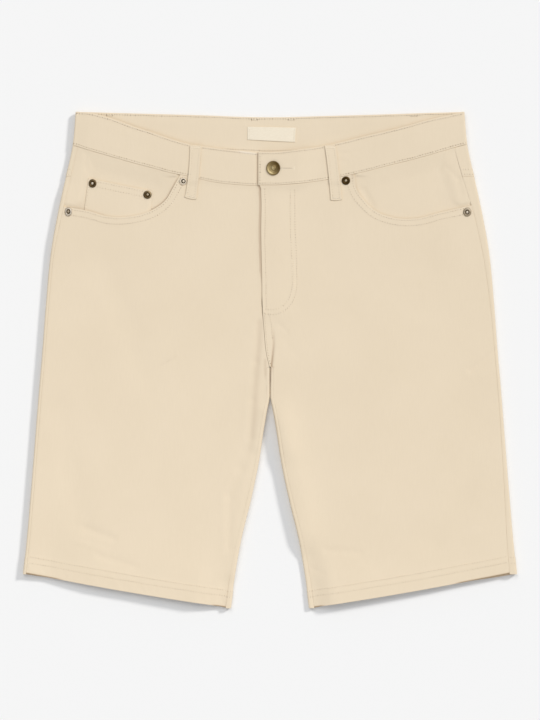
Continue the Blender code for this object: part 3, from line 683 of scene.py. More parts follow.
def stretched(corners, down, across):
    """A grid over four corners: upper left, upper right, lower right, lower left."""
    corners = np.array(corners, float)
    grids = []
    for axis in range(2):
        upper = mix(corners[0, axis], corners[1, axis], across[None, :])
        lower = mix(corners[3, axis], corners[2, axis], across[None, :])
        grids.append(mix(upper, lower, down[:, None]))
    return grids


def coons(top, low, outer, inner, across, down):
    """A grid that fills four boundary curves: top and low run along across, outer and inner along down."""
    u = across[None, :, None]
    v = down[:, None, None]
    between = (1 - v) * top[None] + v * low[None] + (1 - u) * outer[:, None] + u * inner[:, None]
    corners = (1 - u) * (1 - v) * top[0] + u * (1 - v) * top[-1] + (1 - u) * v * low[0] + u * v * low[-1]
    return between - corners


def lengths_along(points):
    """The distance along a path at each of its points."""
    return np.concatenate([[0.0], np.cumsum(np.linalg.norm(np.diff(points, axis=0), axis=1))])


def chord_share(points):
    along = lengths_along(points)
    return along / along[-1]


def pocket_mouth(side, shares):
    """The pocket's edge from the side seam to the waist."""
    name = SIDE_NAMES[side]
    knots = np.column_stack([POCKET_MOUTH[name + "_h"], POCKET_MOUTH[name + "_y"]])[::-1]
    knots[0, 0] = side_seam(side, knots[0, 1])
    knots[-1, 1] = waist_seam(side, knots[-1, 0])
    knot_shares = chord_share(knots)
    return np.column_stack([through(shares, knot_shares, axis) for axis in knots.T])


def front_edge(side, y):
    """The inner edge of a front: centre front above the crotch, the inseam below it."""
    centre = side * through(y, CENTRE_FRONT["y"], CENTRE_FRONT[SIDE_NAMES[side] + "_x"])
    inseam = fork_value("half_gap", y) + FORK_CLEARANCE + fork_value("inseam_inset", y) + SEWN_GAP / 2
    share = (y - CROTCH["y"][1]) / (CENTRE_FRONT["y"][0] - CROTCH["y"][1])
    return mix(inseam, centre, np.clip(share, 0.0, 1.0))


def hem_y(h, outer_h, inner_h, side_y, inner_y):
    """The hem's slant from the side to the inner leg, with its slight bow."""
    share = (outer_h - h) / (outer_h - inner_h)
    return mix(side_y, inner_y, share) - HEM_BULGE * np.sin(math.pi * share)


# ---------------------------------------------------------------- grids, shells and sewn detail


def graded(length, start, end, pitch):
    """Places from 0 to the length: the given steps at each end, and about a pitch apart between them."""
    room = length - start[-1] - end[-1]
    cells = max(1, math.ceil(room / pitch))
    middle = np.linspace(start[-1], length - end[-1], cells + 1)
    return np.concatenate([start[:-1], middle, length - np.array(end[:-1])[::-1]])


def graded_shares(length, start, end, pitch):
    """The same as shares of the length, the pitch being a share too."""
    return graded(1.0, np.array(start) / length, np.array(end) / length, pitch)


def kept_lines(count, skip):
    """Which lines of a grid its coarser inner face keeps: every few, and the last."""
    return np.array(sorted({*range(0, count, skip), count - 1}))


class Cloth:
    """A piece of cloth: a grid of points on its outer face, and a matching inner face.

    to and along hold, for each border, each point's distance from it and its place along it."""

    def __init__(self, name, outer, inner, outward=1):
        self.name = name
        self.outer = outer
        self.inner = inner
        across = np.gradient(outer, axis=1)
        down = np.gradient(outer, axis=0)
        normals = np.cross(across, down)
        size = np.linalg.norm(normals, axis=-1)
        self.skew = size / (np.linalg.norm(across, axis=-1) * np.linalg.norm(down, axis=-1))
        self.turn = math.copysign(1, normals[len(outer) // 2, 0, 2]) * outward
        self.normals = self.turn * normals / size[..., None]
        widths = np.linalg.norm(np.diff(outer, axis=1), axis=-1)
        heights = np.linalg.norm(np.diff(outer, axis=0), axis=-1)
        from_first = np.pad(np.cumsum(widths, axis=1), ((0, 0), (1, 0)))
        from_top = np.pad(np.cumsum(heights, axis=0), ((1, 0), (0, 0)))
        from_last = from_first[:, -1:] - from_first
        from_low = from_top[-1:] - from_top
        self.to = {
            "first": np.maximum.accumulate(from_first * self.skew, axis=1),
            "last": np.maximum.accumulate((from_last * self.skew)[:, ::-1], axis=1)[:, ::-1],
            "top": np.maximum.accumulate(from_top * self.skew, axis=0),
            "low": np.maximum.accumulate((from_low * self.skew)[::-1], axis=0)[::-1],
        }
        self.along = {"first": from_top, "last": from_top, "top": from_first, "low": from_first}
        # Painted shade and colour per point: a light painted shade along seams and stitch rows, a stronger
        # painted shade and shadow in folds, recesses and under raised edges, on the outer and the inner face,
        # and a painted paler colour.
        self.tone = np.zeros(outer.shape[:2])
        self.painted_shade = np.zeros(outer.shape[:2])
        self.fade = np.zeros(outer.shape[:2])
        self.inner_painted_shade = np.zeros(outer.shape[:2])
        self.flat = (float(from_first[:, -1].max()) * MM, float(from_top[-1].max()) * MM)
        self.area = float((size[:-1, :-1]).sum()) * MM * MM

    def press(self, amount):
        """Moves the outer face along its normals, outwards if positive, but not into the floor."""
        self.outer = self.outer + self.normals * np.asarray(amount)[..., None]
        self.outer[..., 2] = np.maximum(self.outer[..., 2], 0.0)

    def roll(self, radius=EDGE_ROLL, sewn=(), **given):
        """Rounds the edges off, those that are sewn to another piece only a little, and some as given."""
        drop = 0.0
        for border in self.to:
            turn = given.get(border, SEWN_ROLL if border in sewn else radius)
            drop = np.maximum(drop, rolled(self.to[border], turn))
        self.press(-drop)

    def seam(self, border, seed, depth=SEAM_PRESS, pucker=0.09, tone=0.45, weight=1.0):
        """Draws the cloth down towards a sewn edge, with small puckers that die away from it, and paints
        shade along the edge.
        """
        away = self.to[border]
        self.press(-depth * weight * bell(away, SEAM_WIDTH))
        self.pucker_border(border, pucker * weight, seed)
        self.tone += tone * weight * bell(away, SEAM_PAINTED_SHADE_WIDTH)

    def pucker(self, away, along, height, seed):
        ripple = bumps(along, away / PUCKER_STRETCH, PUCKER_SIZE, seed)
        self.press(height * ripple * np.exp(-away / PUCKER_REACH))

    def pucker_border(self, border, height, seed):
        self.pucker(self.to[border], self.along[border], height, seed)

    def groove(self, away, depth=GROOVE_DEPTH, tone=ROW_PAINTED_SHADE):
        """Presses the cloth in along a row of stitches, and paints shade along it."""
        self.press(-depth * bell(away, GROOVE_WIDTH))
        self.tone += tone * bell(away, GROOVE_WIDTH)

    def grooves(self, border, distances, **look):
        for distance in distances:
            self.groove(np.abs(self.to[border] - distance), **look)

    def shade(self, path, width, strength):
        """Paints shade on the upper side along a fold, fading out towards the end of its path."""
        path = np.array(path, float)
        away, along = nearest(path, self.outer[..., 0], self.outer[..., 1], 4 * width)
        length = lengths_along(path)[-1]
        strength = strength * step(along, length, 0.6 * length) * (self.outer[..., 2] > SHADE_ABOVE)
        self.painted_shade += strength * bell(away, width)

    def row(self, border, distance, trim=(0.0, 0.0), columns=slice(None)):
        """The points and normals of a row of stitches parallel to a border."""
        away = self.to[border]
        points = self.outer
        normals = self.normals
        if border in ("first", "last"):
            away = away.T
            points = points.transpose(1, 0, 2)
            normals = normals.transpose(1, 0, 2)
        if border in ("last", "low"):
            away = away[::-1]
            points = points[::-1]
            normals = normals[::-1]
        found = []
        for c in range(away.shape[1])[columns]:
            place = [np.interp(distance, away[:, c], points[:, c, k]) for k in range(3)]
            place += [np.interp(distance, away[:, c], normals[:, c, k]) for k in range(3)]
            found.append(place)
        found = np.array(found)
        return trimmed(found[:, :3], found[:, 3:], trim)

    def rows(self, border, distances, **given):
        return [self.row(border, distance, **given) for distance in distances]

    def laid_row(self, path, trim=(0.0, 0.0)):
        """The points and normals of a row that follows a path in (x, y) on the outer face."""
        points = self.outer.reshape(-1, 3)
        normals = self.normals.reshape(-1, 3)
        box = np.all(np.abs(points[:, :2] - path.mean(axis=0)) < np.ptp(path, axis=0) / 2 + 12, axis=1)
        points = points[box]
        normals = normals[box]
        placed = []
        turned = []
        for x, y in path:
            off = points[:, :2] - (x, y)
            away = np.einsum("ij,ij->i", off, off)
            near = np.argpartition(away, 4)[:4]
            weight = 1 / (away[near] + 1e-6)
            weight /= weight.sum()
            slope = np.einsum("ij,ij->i", normals[near, :2], off[near]) / normals[near, 2]
            placed.append((x, y, np.sum(weight * (points[near, 2] + slope))))
            turned.append(weight @ normals[near])
        return trimmed(np.array(placed), np.array(turned), trim)

    def build(self, material, skip=INNER_SKIP):
        """The closed mesh of the piece. The inner face keeps only some lines of the grid."""
        rows, columns = self.outer.shape[:2]
        keep_rows = kept_lines(rows, skip)
        keep_columns = kept_lines(columns, skip)
        coarse = self.inner[np.ix_(keep_rows, keep_columns)]
        upper = np.arange(rows * columns).reshape(rows, columns)
        lower = rows * columns + np.arange(coarse.shape[0] * coarse.shape[1]).reshape(coarse.shape[:2])
        faces = quads(upper).tolist()
        faces += quads(lower)[:, ::-1].tolist()
        borders = (
            (upper[0], lower[0], keep_columns, True),
            (upper[-1], lower[-1], keep_columns, False),
            (upper[:, 0], lower[:, 0], keep_rows, False),
            (upper[:, -1], lower[:, -1], keep_rows, True),
        )
        for fine, rough, kept, reverse in borders:
            for i in range(len(kept) - 1):
                run = fine[kept[i] : kept[i + 1] + 1].tolist() + [int(rough[i + 1]), int(rough[i])]
                faces.append(run[::-1] if reverse else run)
        points = np.concatenate([self.outer.reshape(-1, 3), coarse.reshape(-1, 3)])
        mesh = mesh_of(self.name, points, faces, material)
        if self.turn < 0:
            mesh.flip_normals()
        # The painted shade and the paler colour go to the material as attributes.
        plain = np.zeros(coarse.shape[:2])
        kept_inner_painted_shade = self.inner_painted_shade[np.ix_(keep_rows, keep_columns)]
        for name, values, inside in (
            ("seam_painted_shade", self.tone, plain),
            ("recess", self.painted_shade, kept_inner_painted_shade),
            ("paler_amount", self.fade, plain),
        ):
            values = np.concatenate([values.ravel(), inside.ravel()])
            attribute = mesh.attributes.new(name, "FLOAT", "POINT")
            attribute.data.foreach_set("value", np.clip(values, 0.0, 2.0).astype(np.float32))
        return placed_object(self.name, mesh)


def rolled(away, radius):
    """How far a rounded edge has dropped at a distance from the border."""
    return radius - np.sqrt(radius**2 - np.clip(radius - away, 0.0, radius) ** 2)


def quads(index):
    corners = (index[:-1, :-1], index[:-1, 1:], index[1:, 1:], index[1:, :-1])
    return np.stack(corners, axis=-1).reshape(-1, 4)


def mesh_of(name, points, faces, material):
    mesh = bpy.data.meshes.new(name)
    mesh.from_pydata((points * MM).tolist(), [], faces)
    mesh.materials.append(material)
    mesh.shade_smooth()
    mesh.set_sharp_from_angle(angle=math.radians(SHARP_ANGLE))
    return mesh


def placed_object(name, mesh):
    obj = bpy.data.objects.new(name, mesh)
    bpy.context.scene.collection.objects.link(obj)
    return obj


def nearest(path, x, y, reach):
    """The distance from a path in (x, y), and the place along it, for points within reach of it."""
    away = np.full(x.shape, reach, float)
    along = np.zeros(x.shape)
    low = path.min(axis=0) - reach
    high = path.max(axis=0) + reach
    close = (x > low[0]) & (x < high[0]) & (y > low[1]) & (y < high[1])
    points = np.column_stack([x[close], y[close]])
    starts = path[:-1]
    spans = np.diff(path, axis=0)
    sizes = np.linalg.norm(spans, axis=1)
    offsets = points[:, None] - starts[None]
    shares = np.clip(np.einsum("ijk,jk->ij", offsets, spans) / sizes**2, 0.0, 1.0)
    gaps = np.linalg.norm(offsets - shares[..., None] * spans, axis=-1)
    best = np.argmin(gaps, axis=1)
    rows = np.arange(len(points))
    away[close] = np.minimum(gaps[rows, best], reach)
    along[close] = lengths_along(path)[best] + shares[rows, best] * sizes[best]
    return away, along


def trimmed(points, normals, trim):
    """A row without its ends, each cut by a length."""
    along = lengths_along(points)
    ends = (trim[0], along[-1] - trim[1])
    inside = (along > ends[0]) & (along < ends[1])
    at = np.concatenate([[ends[0]], along[inside], [ends[1]]])
    columns = [np.interp(at, along, values) for values in (*points.T, *normals.T)]
    return np.column_stack(columns[:3]), np.column_stack(columns[3:])


def offset_path(path, distance):
    """A path in (x, y), moved to the right of its own direction."""
    steps = np.gradient(path, axis=0)
    steps /= np.linalg.norm(steps, axis=1)[:, None]
    return path + distance * np.column_stack([steps[:, 1], -steps[:, 0]])


def evened(path, pitch):
    """A path in (x, y) with points a pitch apart."""
    along = lengths_along(path)
    at = np.linspace(0.0, along[-1], max(2, round(along[-1] / pitch) + 1))
    return np.column_stack([np.interp(at, along, axis) for axis in path.T])


# ---------------------------------------------------------------- stitches

# Rings of one stitch: place along it, thickness and height, as shares of its length, radius and radius.
STITCH_RINGS = ((-0.5, 0.35, -0.9), (-0.34, 0.9, 0.1), (0.0, 1.0, 0.5), (0.34, 0.9, 0.1), (0.5, 0.35, -0.9))
STITCH_SIDES = 6


def stitch_shape(length, radius):
    """The points and faces of one stitch along +X, both ends sunk into the cloth."""
    points = []
    for place, thickness, height in STITCH_RINGS:
        for i in range(STITCH_SIDES):
            angle = 2 * math.pi * i / STITCH_SIDES
            across = radius * thickness * math.cos(angle)
            up = radius * (height + thickness * math.sin(angle))
            points.append((place * length, across, up))
    index = np.arange(len(points)).reshape(len(STITCH_RINGS), STITCH_SIDES)
    index = np.column_stack([index, index[:, 0]])
    faces = quads(index).tolist()
    faces.append(index[0, :-1].tolist())
    faces.append(index[-1, :-1][::-1].tolist())
    return np.array(points), faces


class Thread:
    """Collects the stitches of one piece, to be made as one mesh."""

    def __init__(self, name, seed):
        self.name = name
        self.random = np.random.default_rng(seed)
        self.points = []
        self.faces = []
        self.holes = []
        self.count = 0

    def add(self, place, tangent, normal, length, radius):
        normal = normal / np.linalg.norm(normal)
        tangent = tangent - normal * (tangent @ normal)
        tangent /= np.linalg.norm(tangent)
        axes = np.array([tangent, np.cross(normal, tangent), normal])
        points, faces = stitch_shape(length, radius)
        self.keep(place + points @ axes, faces, 0.0)

    def keep(self, points, faces, hole):
        self.points.append(points)
        self.faces += [[i + self.count for i in face] for face in faces]
        self.holes += [hole] * len(points)
        self.count += len(points)

    def hole(self, place, normal, radius):
        """A small dark disc of painted shade where the needle went through."""
        normal = normal / np.linalg.norm(normal)
        first = np.cross(normal, (0.3, 0.9, 0.1))
        first /= np.linalg.norm(first)
        second = np.cross(normal, first)
        angles = np.arange(7) * 2 * math.pi / 7
        around = np.outer(np.cos(angles), first) + np.outer(np.sin(angles), second)
        rim = place + radius * around + 0.05 * normal
        self.keep(rim, [list(range(7))], 1.0)

    def sew(self, row, pitch=STITCH, share=STITCH_SHARE, radius=THREAD_RADIUS, hole=HOLE_RADIUS):
        """Stitches one after the other along a row."""
        points, normals = row
        along = lengths_along(points)
        count = max(1, round(along[-1] / pitch))
        drift = bumps(np.arange(count), 0.5, 4.0, int(self.random.integers(1000)))
        for i in range(count):
            middle = (i + 0.5 + self.random.uniform(-0.08, 0.08)) * along[-1] / count
            length = pitch * share * self.random.uniform(0.9, 1.06)
            place, ahead, behind, normal = self.read(points, normals, along, middle, pitch / 2)
            aside = np.cross(normal, ahead - behind)
            aside *= WANDER * drift[i] / np.linalg.norm(aside)
            self.add(place + aside, ahead - behind, normal, length, radius)
            self.hole(ahead + aside, normal, hole * self.random.uniform(0.7, 1.2))

    def sew_all(self, rows, **look):
        for row in rows:
            self.sew(row, **look)

    def bar(self, row, length, pitch, radius=THREAD_RADIUS):
        """A bartack: stitches side by side across a row, close together."""
        points, normals = row
        along = lengths_along(points)
        count = max(2, round(along[-1] / pitch))
        for i in range(count):
            middle = (i + 0.5) * along[-1] / count
            place, ahead, behind, normal = self.read(points, normals, along, middle, 0.5)
            across = np.cross(normal, ahead - behind)
            across = across / np.linalg.norm(across) + self.random.uniform(-0.12, 0.12) * (ahead - behind)
            self.add(place, across, normal, length * self.random.uniform(0.92, 1.06), radius)

    @staticmethod
    def read(points, normals, along, middle, reach):
        at = (middle, middle + reach, middle - reach)
        places = [np.array([np.interp(s, along, axis) for axis in points.T]) for s in at]
        normal = np.array([np.interp(middle, along, axis) for axis in normals.T])
        return (*places, normal)

    def build(self, material):
        mesh = mesh_of(self.name, np.concatenate(self.points), self.faces, material)
        attribute = mesh.attributes.new("needle_hole_painted_shade", "FLOAT", "POINT")
        attribute.data.foreach_set("value", np.array(self.holes, np.float32))
        return placed_object(self.name, mesh)


def flat_row(start, end, z):
    """A straight row on a level face."""
    points = np.array([(*start, z), (*end, z)], float)
    return points, np.array([(0.0, 0.0, 1.0)] * 2)


# ---------------------------------------------------------------- materials

WEAVE = 0.62
YARN = 0.44
TWILL_TILT = 62.0
TWILL_LIGHT = (0.835, 0.7095, 0.538)
TWILL_DARK = (0.795, 0.6715, 0.5015)
# Painted shade along seams.
SEAM_PAINTED_SHADE = (0.70, 0.565, 0.40)
# Painted shade in folds, recesses and beside raised edges, and a deeper painted shade where the amount goes
# past 1.
RECESS_PAINTED_SHADE = (0.62, 0.493, 0.359)
DEEP_PAINTED_SHADE = (0.33, 0.215, 0.105)
# The paler colour on the underlap's upper edge.
PALER_TINT = (0.87, 0.77, 0.63)
# The painted shade of a needle hole.
HOLE_PAINTED_SHADE = (0.30, 0.21, 0.13)
# The brass where it is rubbed bright, between and in the hollows, and its roughness from hollow to bright.
BRASS_LOOKS = {
    "antique_brass": ((0.80, 0.73, 0.63), (0.33, 0.25, 0.145), (0.066, 0.038, 0.012), (0.5, 0.4)),
    "dull_brass": ((0.80, 0.74, 0.66), (0.42, 0.345, 0.245), (0.08, 0.05, 0.02), (0.6, 0.62)),
    "pale_brass": ((0.97, 0.88, 0.76), (0.45, 0.38, 0.28), (0.08, 0.06, 0.03), (0.5, 0.75)),
    "gilt_brass": ((0.68, 0.575, 0.335), (0.31, 0.225, 0.10), (0.08, 0.045, 0.01), (0.55, 0.62)),
}
SOCKETS = {
    "Colour": "Base Color",
    "Specular": "Specular IOR Level",
    "Sheen": "Sheen Weight",
    "SheenRoughness": "Sheen Roughness",
    "SheenTint": "Sheen Tint",
}


class Nodes:
    """A material's node tree, with short ways to add and join nodes."""

    def __init__(self, name):
        self.material = bpy.data.materials.new(name)
        self.material.use_nodes = True
        self.tree = self.material.node_tree
        self.shader = self.tree.nodes["Principled BSDF"]

    def add(self, kind, **values):
        node = self.tree.nodes.new("ShaderNode" + kind)
        for name, value in values.items():
            if name in node.inputs:
                node.inputs[name].default_value = value
            else:
                setattr(node, name, value)
        return node

    def join(self, source, target):
        self.tree.links.new(source, target)

    def feed(self, socket, value):
        """Joins another node's output to a socket, or gives it a colour or a number."""
        if isinstance(value, bpy.types.NodeSocket):
            self.join(value, socket)
        else:
            socket.default_value = (*value, 1.0) if isinstance(value, tuple) else value

    def attribute(self, name):
        return self.add("Attribute", attribute_name=name).outputs["Fac"]

    def surface(self, **values):
        """Feeds the shader's sockets, and gives the finished material."""
        for name, value in values.items():
            self.feed(self.shader.inputs[SOCKETS.get(name, name)], value)
        return self.material

    def places(self, turn=(0.0, 0.0, 0.0), scale=(1.0, 1.0, 1.0)):
        """Positions on the object in metres, turned and scaled."""
        coordinates = self.add("TexCoord")
        mapping = self.add("Mapping")
        mapping.inputs["Rotation"].default_value = turn
        mapping.inputs["Scale"].default_value = scale
        self.join(coordinates.outputs["Object"], mapping.inputs["Vector"])
        return mapping.outputs["Vector"]

    def noise(self, size, detail=2.0, roughness=0.5, scale=(1.0, 1.0, 1.0)):
        """Noise whose bumps are about that many millimetres across."""
        node = self.add("TexNoise", Scale=1 / (size * MM), Detail=detail, Roughness=roughness)
        self.join(self.places(scale=scale), node.inputs["Vector"])
        return node.outputs["Fac"]

    def ridges(self, pitch, angle):
        """Parallel ridges a number of millimetres apart, turned about +Z."""
        node = self.add("TexWave", Scale=2 * math.pi / (20 * pitch * MM), Distortion=0.6, Detail=1.0)
        node.inputs["Detail Scale"].default_value = 1.2
        self.join(self.places(turn=(0.0, 0.0, math.radians(angle))), node.inputs["Vector"])
        return node.outputs["Fac"]

    def blend(self, share, first, second):
        """A colour between two, by a share."""
        node = self.add("Mix", data_type="RGBA")
        for socket, value in ((0, share), (6, first), (7, second)):
            self.feed(node.inputs[socket], value)
        return node.outputs[2]

    def maths(self, operation, *values):
        node = self.add("Math", operation=operation)
        for socket, value in zip(node.inputs, values):
            self.feed(socket, value)
        return node.outputs["Value"]

    def ranged(self, value, low, high, to_low=0.0, to_high=1.0):
        node = self.add("MapRange")
        self.join(value, node.inputs["Value"])
        for name, number in (("From Min", low), ("From Max", high), ("To Min", to_low), ("To Max", to_high)):
            node.inputs[name].default_value = number
        return node.outputs["Result"]

    def relief(self, height, depth, strength, below=None):
        """Bump from a height map whose full range is that many millimetres."""
        node = self.add("Bump", Strength=strength, Distance=depth * MM)
        self.join(height, node.inputs["Height"])
        if below is not None:
            self.join(below, node.inputs["Normal"])
        return node.outputs["Normal"]


def twill(name):
    """Cotton twill: fine diagonal ribs, slubs in the yarn, and a faint unevenness of tone, with painted shade
    along seams, in folds and recesses, and a paler colour on the underlap's edge, from the mesh's attributes.
    """
    n = Nodes(name)
    ribs = n.ridges(WEAVE, TWILL_TILT)
    picks = n.ridges(YARN, TWILL_TILT - 75.0)
    weave = n.maths("MULTIPLY_ADD", picks, 0.35, ribs)
    fuzz = n.noise(0.5, detail=3.0, roughness=0.7)
    crumple = n.noise(7.0, detail=3.0, roughness=0.55)
    low = n.relief(crumple, 0.22, 0.35)
    fine = n.relief(n.maths("MULTIPLY_ADD", fuzz, 0.8, weave), 0.07, 0.45, below=low)
    clouds = n.ranged(n.noise(85.0, detail=3.0), 0.35, 0.65)
    slubs = n.ranged(n.noise(1.1, detail=2.0, scale=(1.0, 0.08, 1.0)), 0.3, 0.7)
    tone = n.maths("MULTIPLY_ADD", slubs, 0.35, n.maths("MULTIPLY", clouds, 0.4))
    tone = n.maths("MULTIPLY_ADD", n.maths("SUBTRACT", 1.0, ribs), 0.25, tone)
    cloth = n.blend(tone, TWILL_LIGHT, TWILL_DARK)
    # Painted shade along seams and stitch rows.
    cloth = n.blend(n.maths("MULTIPLY", n.attribute("seam_painted_shade"), 0.22), cloth, SEAM_PAINTED_SHADE)
    # Painted shade in folds and recesses, deeper past 1.
    recess = n.attribute("recess")
    cloth = n.blend(recess, cloth, RECESS_PAINTED_SHADE)
    cloth = n.blend(n.ranged(recess, 1.0, 2.0), cloth, DEEP_PAINTED_SHADE)
    cloth = n.blend(n.attribute("paler_amount"), cloth, PALER_TINT)
    rough = n.ranged(fuzz, 0.3, 0.7, 0.84, 0.94)
    tint = (1.0, 0.95, 0.86)
    n.surface(Colour=cloth, Roughness=rough, Normal=fine, Specular=0.25)
    return n.surface(Sheen=0.12, SheenRoughness=0.45, SheenTint=tint)


def thread_material(name):
    """Polyester-wrapped sewing thread in the cloth's own colour, with its twist."""
    n = Nodes(name)
    twist = n.ridges(0.35, 38.0)
    shade = n.blend(n.maths("MULTIPLY", twist, 0.5), (0.93, 0.83, 0.67), (0.86, 0.75, 0.58))
    # The needle holes' discs take painted shade.
    shade = n.blend(n.attribute("needle_hole_painted_shade"), shade, HOLE_PAINTED_SHADE)
    return n.surface(Colour=shade, Normal=n.relief(twist, 0.06, 0.5), Roughness=0.6, Specular=0.4)


def label_material(name):
    """Undyed satin ribbon: close fine ribs across it."""
    n = Nodes(name)
    ribs = n.ridges(0.28, 0.0)
    threads = n.noise(0.6, detail=2.0, scale=(0.15, 1.0, 1.0))
    shade = n.blend(n.ranged(threads, 0.3, 0.7), (0.91, 0.815, 0.656), (0.853, 0.757, 0.594))
    relief = n.relief(n.maths("ADD", ribs, threads), 0.05, 0.4)
    return n.surface(Colour=shade, Normal=relief, Roughness=0.55, Sheen=0.15)


def tape_material(name):
    """The zip's herringbone tape."""
    n = Nodes(name)
    ribs = n.maths("ADD", n.ridges(0.9, 45.0), n.ridges(0.9, -45.0))
    shade = n.blend(n.maths("MULTIPLY", ribs, 0.5), (0.76, 0.65, 0.48), (0.66, 0.55, 0.39))
    return n.surface(Colour=shade, Normal=n.relief(ribs, 0.12, 0.6), Roughness=0.8)


def brass_material(name, bright, middle, deep, roughness):
    """Antique brass: dark patina in the hollows, rubbed bright on the rims, with fine scratches, and painted
    light, each piece paler on one side.
    """
    n = Nodes(name)
    stains = n.ranged(n.noise(1.6, detail=4.0, roughness=0.6), 0.35, 0.7)
    rubbed_and_painted_light = n.maths("MULTIPLY", n.attribute("wear_and_painted_light"), n.ranged(stains, 0.0, 1.0, 1.0, 0.55))
    bronze = n.blend(n.ranged(rubbed_and_painted_light, 0.0, 0.5), deep, middle)
    colour = n.blend(n.ranged(rubbed_and_painted_light, 0.5, 1.0), bronze, bright)
    rough = n.ranged(rubbed_and_painted_light, 0.0, 1.0, *roughness)
    scratches = n.noise(0.35, detail=3.0, scale=(1.0, 0.2, 1.0))
    return n.surface(Colour=colour, Roughness=rough, Normal=n.relief(scratches, 0.03, 0.35), Metallic=1.0)


# ---------------------------------------------------------------- the pieces of cloth


def panel_levels(top_y, hem, torso_pitch, leg_pitch, top_steps):
    """The heights of a panel's rows at its inner edge, with one at each corner of the crotch."""
    crotch = CENTRE_FRONT["y"][0]
    torso = top_y - graded(top_y - crotch, top_steps, CORNER_STEPS, torso_pitch)
    leg = CROTCH["y"][1] - graded(CROTCH["y"][1] - hem, CORNER_STEPS, HEM_STEPS, leg_pitch)
    return np.concatenate([torso, leg])


def hem_walls(levels):
    """The cloth's thickness at each row: doubled inside the hem."""
    return mix(CLOTH, HEM_CLOTH, step(levels, INNER_HEM + HEM_DEPTH, INNER_HEM + HEM_DEPTH - HEM_STEP))


def raised_band(away, width, height):
    """The step of a folded allowance that lies under the cloth, up to a distance from its edge."""
    return height * step(away, width + ALLOWANCE_SOFT, width - ALLOWANCE_SOFT)


def laid(name, x, y, z, wall=CLOTH):
    """A piece whose outer face is on top, from its heights and its thickness."""
    return Cloth(name, np.stack([x, y, z], axis=-1), np.stack([x, y, z - wall], axis=-1))


def hem_detail(cloth, seed):
    """The turned-up hem: two rows, a slight step above them, and the ripples that the folding leaves."""
    away = cloth.to["low"]
    along = cloth.along["low"]
    cloth.press(raised_band(away, width=HEM_ROWS[1] + 1.0, height=0.3))
    strength = 0.6 + 0.4 * bumps(along, away / 40.0, ROPE_PATCH, seed + 9)
    rope = bumps(along + ROPE_SLANT * away, away / 9.0, ROPE_SIZE, seed) * strength
    cloth.press(ROPE_HEIGHT * rope * step(away, HEM_ROWS[1] + 5.0, HEM_ROWS[1]) * step(away, 0.0, 4.0))
    cloth.grooves("low", HEM_ROWS)


def hem_lift(side, share, y):
    """How far the open leg's front layer stands off, or settles, along the hem."""
    near_hem = step(y - mix(SIDE_HEM, INNER_HEM, share), *HEM_LIFT_FADE)
    lift = np.interp(share, *HEM_LIFT[side])
    return lift * near_hem * step(share, 0.0, HEM_LIFT_ENDS) * step(share, 1.0, 1.0 - HEM_LIFT_ENDS)


def front_grid(side):
    """A front's grid in (h, y), the share of the way across it, its rows' heights and its pocket mouth."""
    guide = pocket_mouth(side, GUIDE)
    mouth_places = graded(lengths_along(guide)[-1], EDGE_STEPS, CORNER_STEPS, FINE_PITCH)
    mouth = pocket_mouth(side, mouth_places / mouth_places[-1])
    waist_end = float(front_edge(side, CENTRE_FRONT["y"][-1]))
    waist_length = mouth[-1, 0] - waist_end
    inner_steps = FLY_STEPS if side == LEFT else ROW_STEPS
    waist_h = mouth[-1, 0] - graded(waist_length, CORNER_STEPS, inner_steps, PITCH)[1:]
    waist = np.column_stack([waist_h, waist_seam(side, waist_h) - SEWN_GAP])
    mouth[-1, 1] -= SEWN_GAP
    mouth[0, 0] -= SEWN_GAP / 2
    top = np.vstack([mouth, waist])
    across = chord_share(top)
    inner_y = panel_levels(top[-1, 1], INNER_HEM, TORSO_PITCH, PITCH, ROW_STEPS)
    down = (inner_y[0] - inner_y) / (inner_y[0] - INNER_HEM)
    outer_y = mix(top[0, 1], SIDE_HEM, down)
    outer = np.column_stack([side_seam(side, outer_y) - SEWN_GAP / 2, outer_y])
    inner = np.column_stack([front_edge(side, inner_y), inner_y])
    inner[0, 0] = top[-1, 0]
    low_h = mix(outer[-1, 0], inner[-1, 0], across)
    low = np.column_stack([low_h, hem_y(low_h, outer[-1, 0], inner[-1, 0], SIDE_HEM, INNER_HEM)])
    low[0] = outer[-1]
    low[-1] = inner[-1]
    grid = coons(top, low, outer, inner, across, down)
    share = (outer[:, :1] - grid[..., 0]) / (outer[:, :1] - inner[:, :1])
    return grid, share, inner_y, mouth


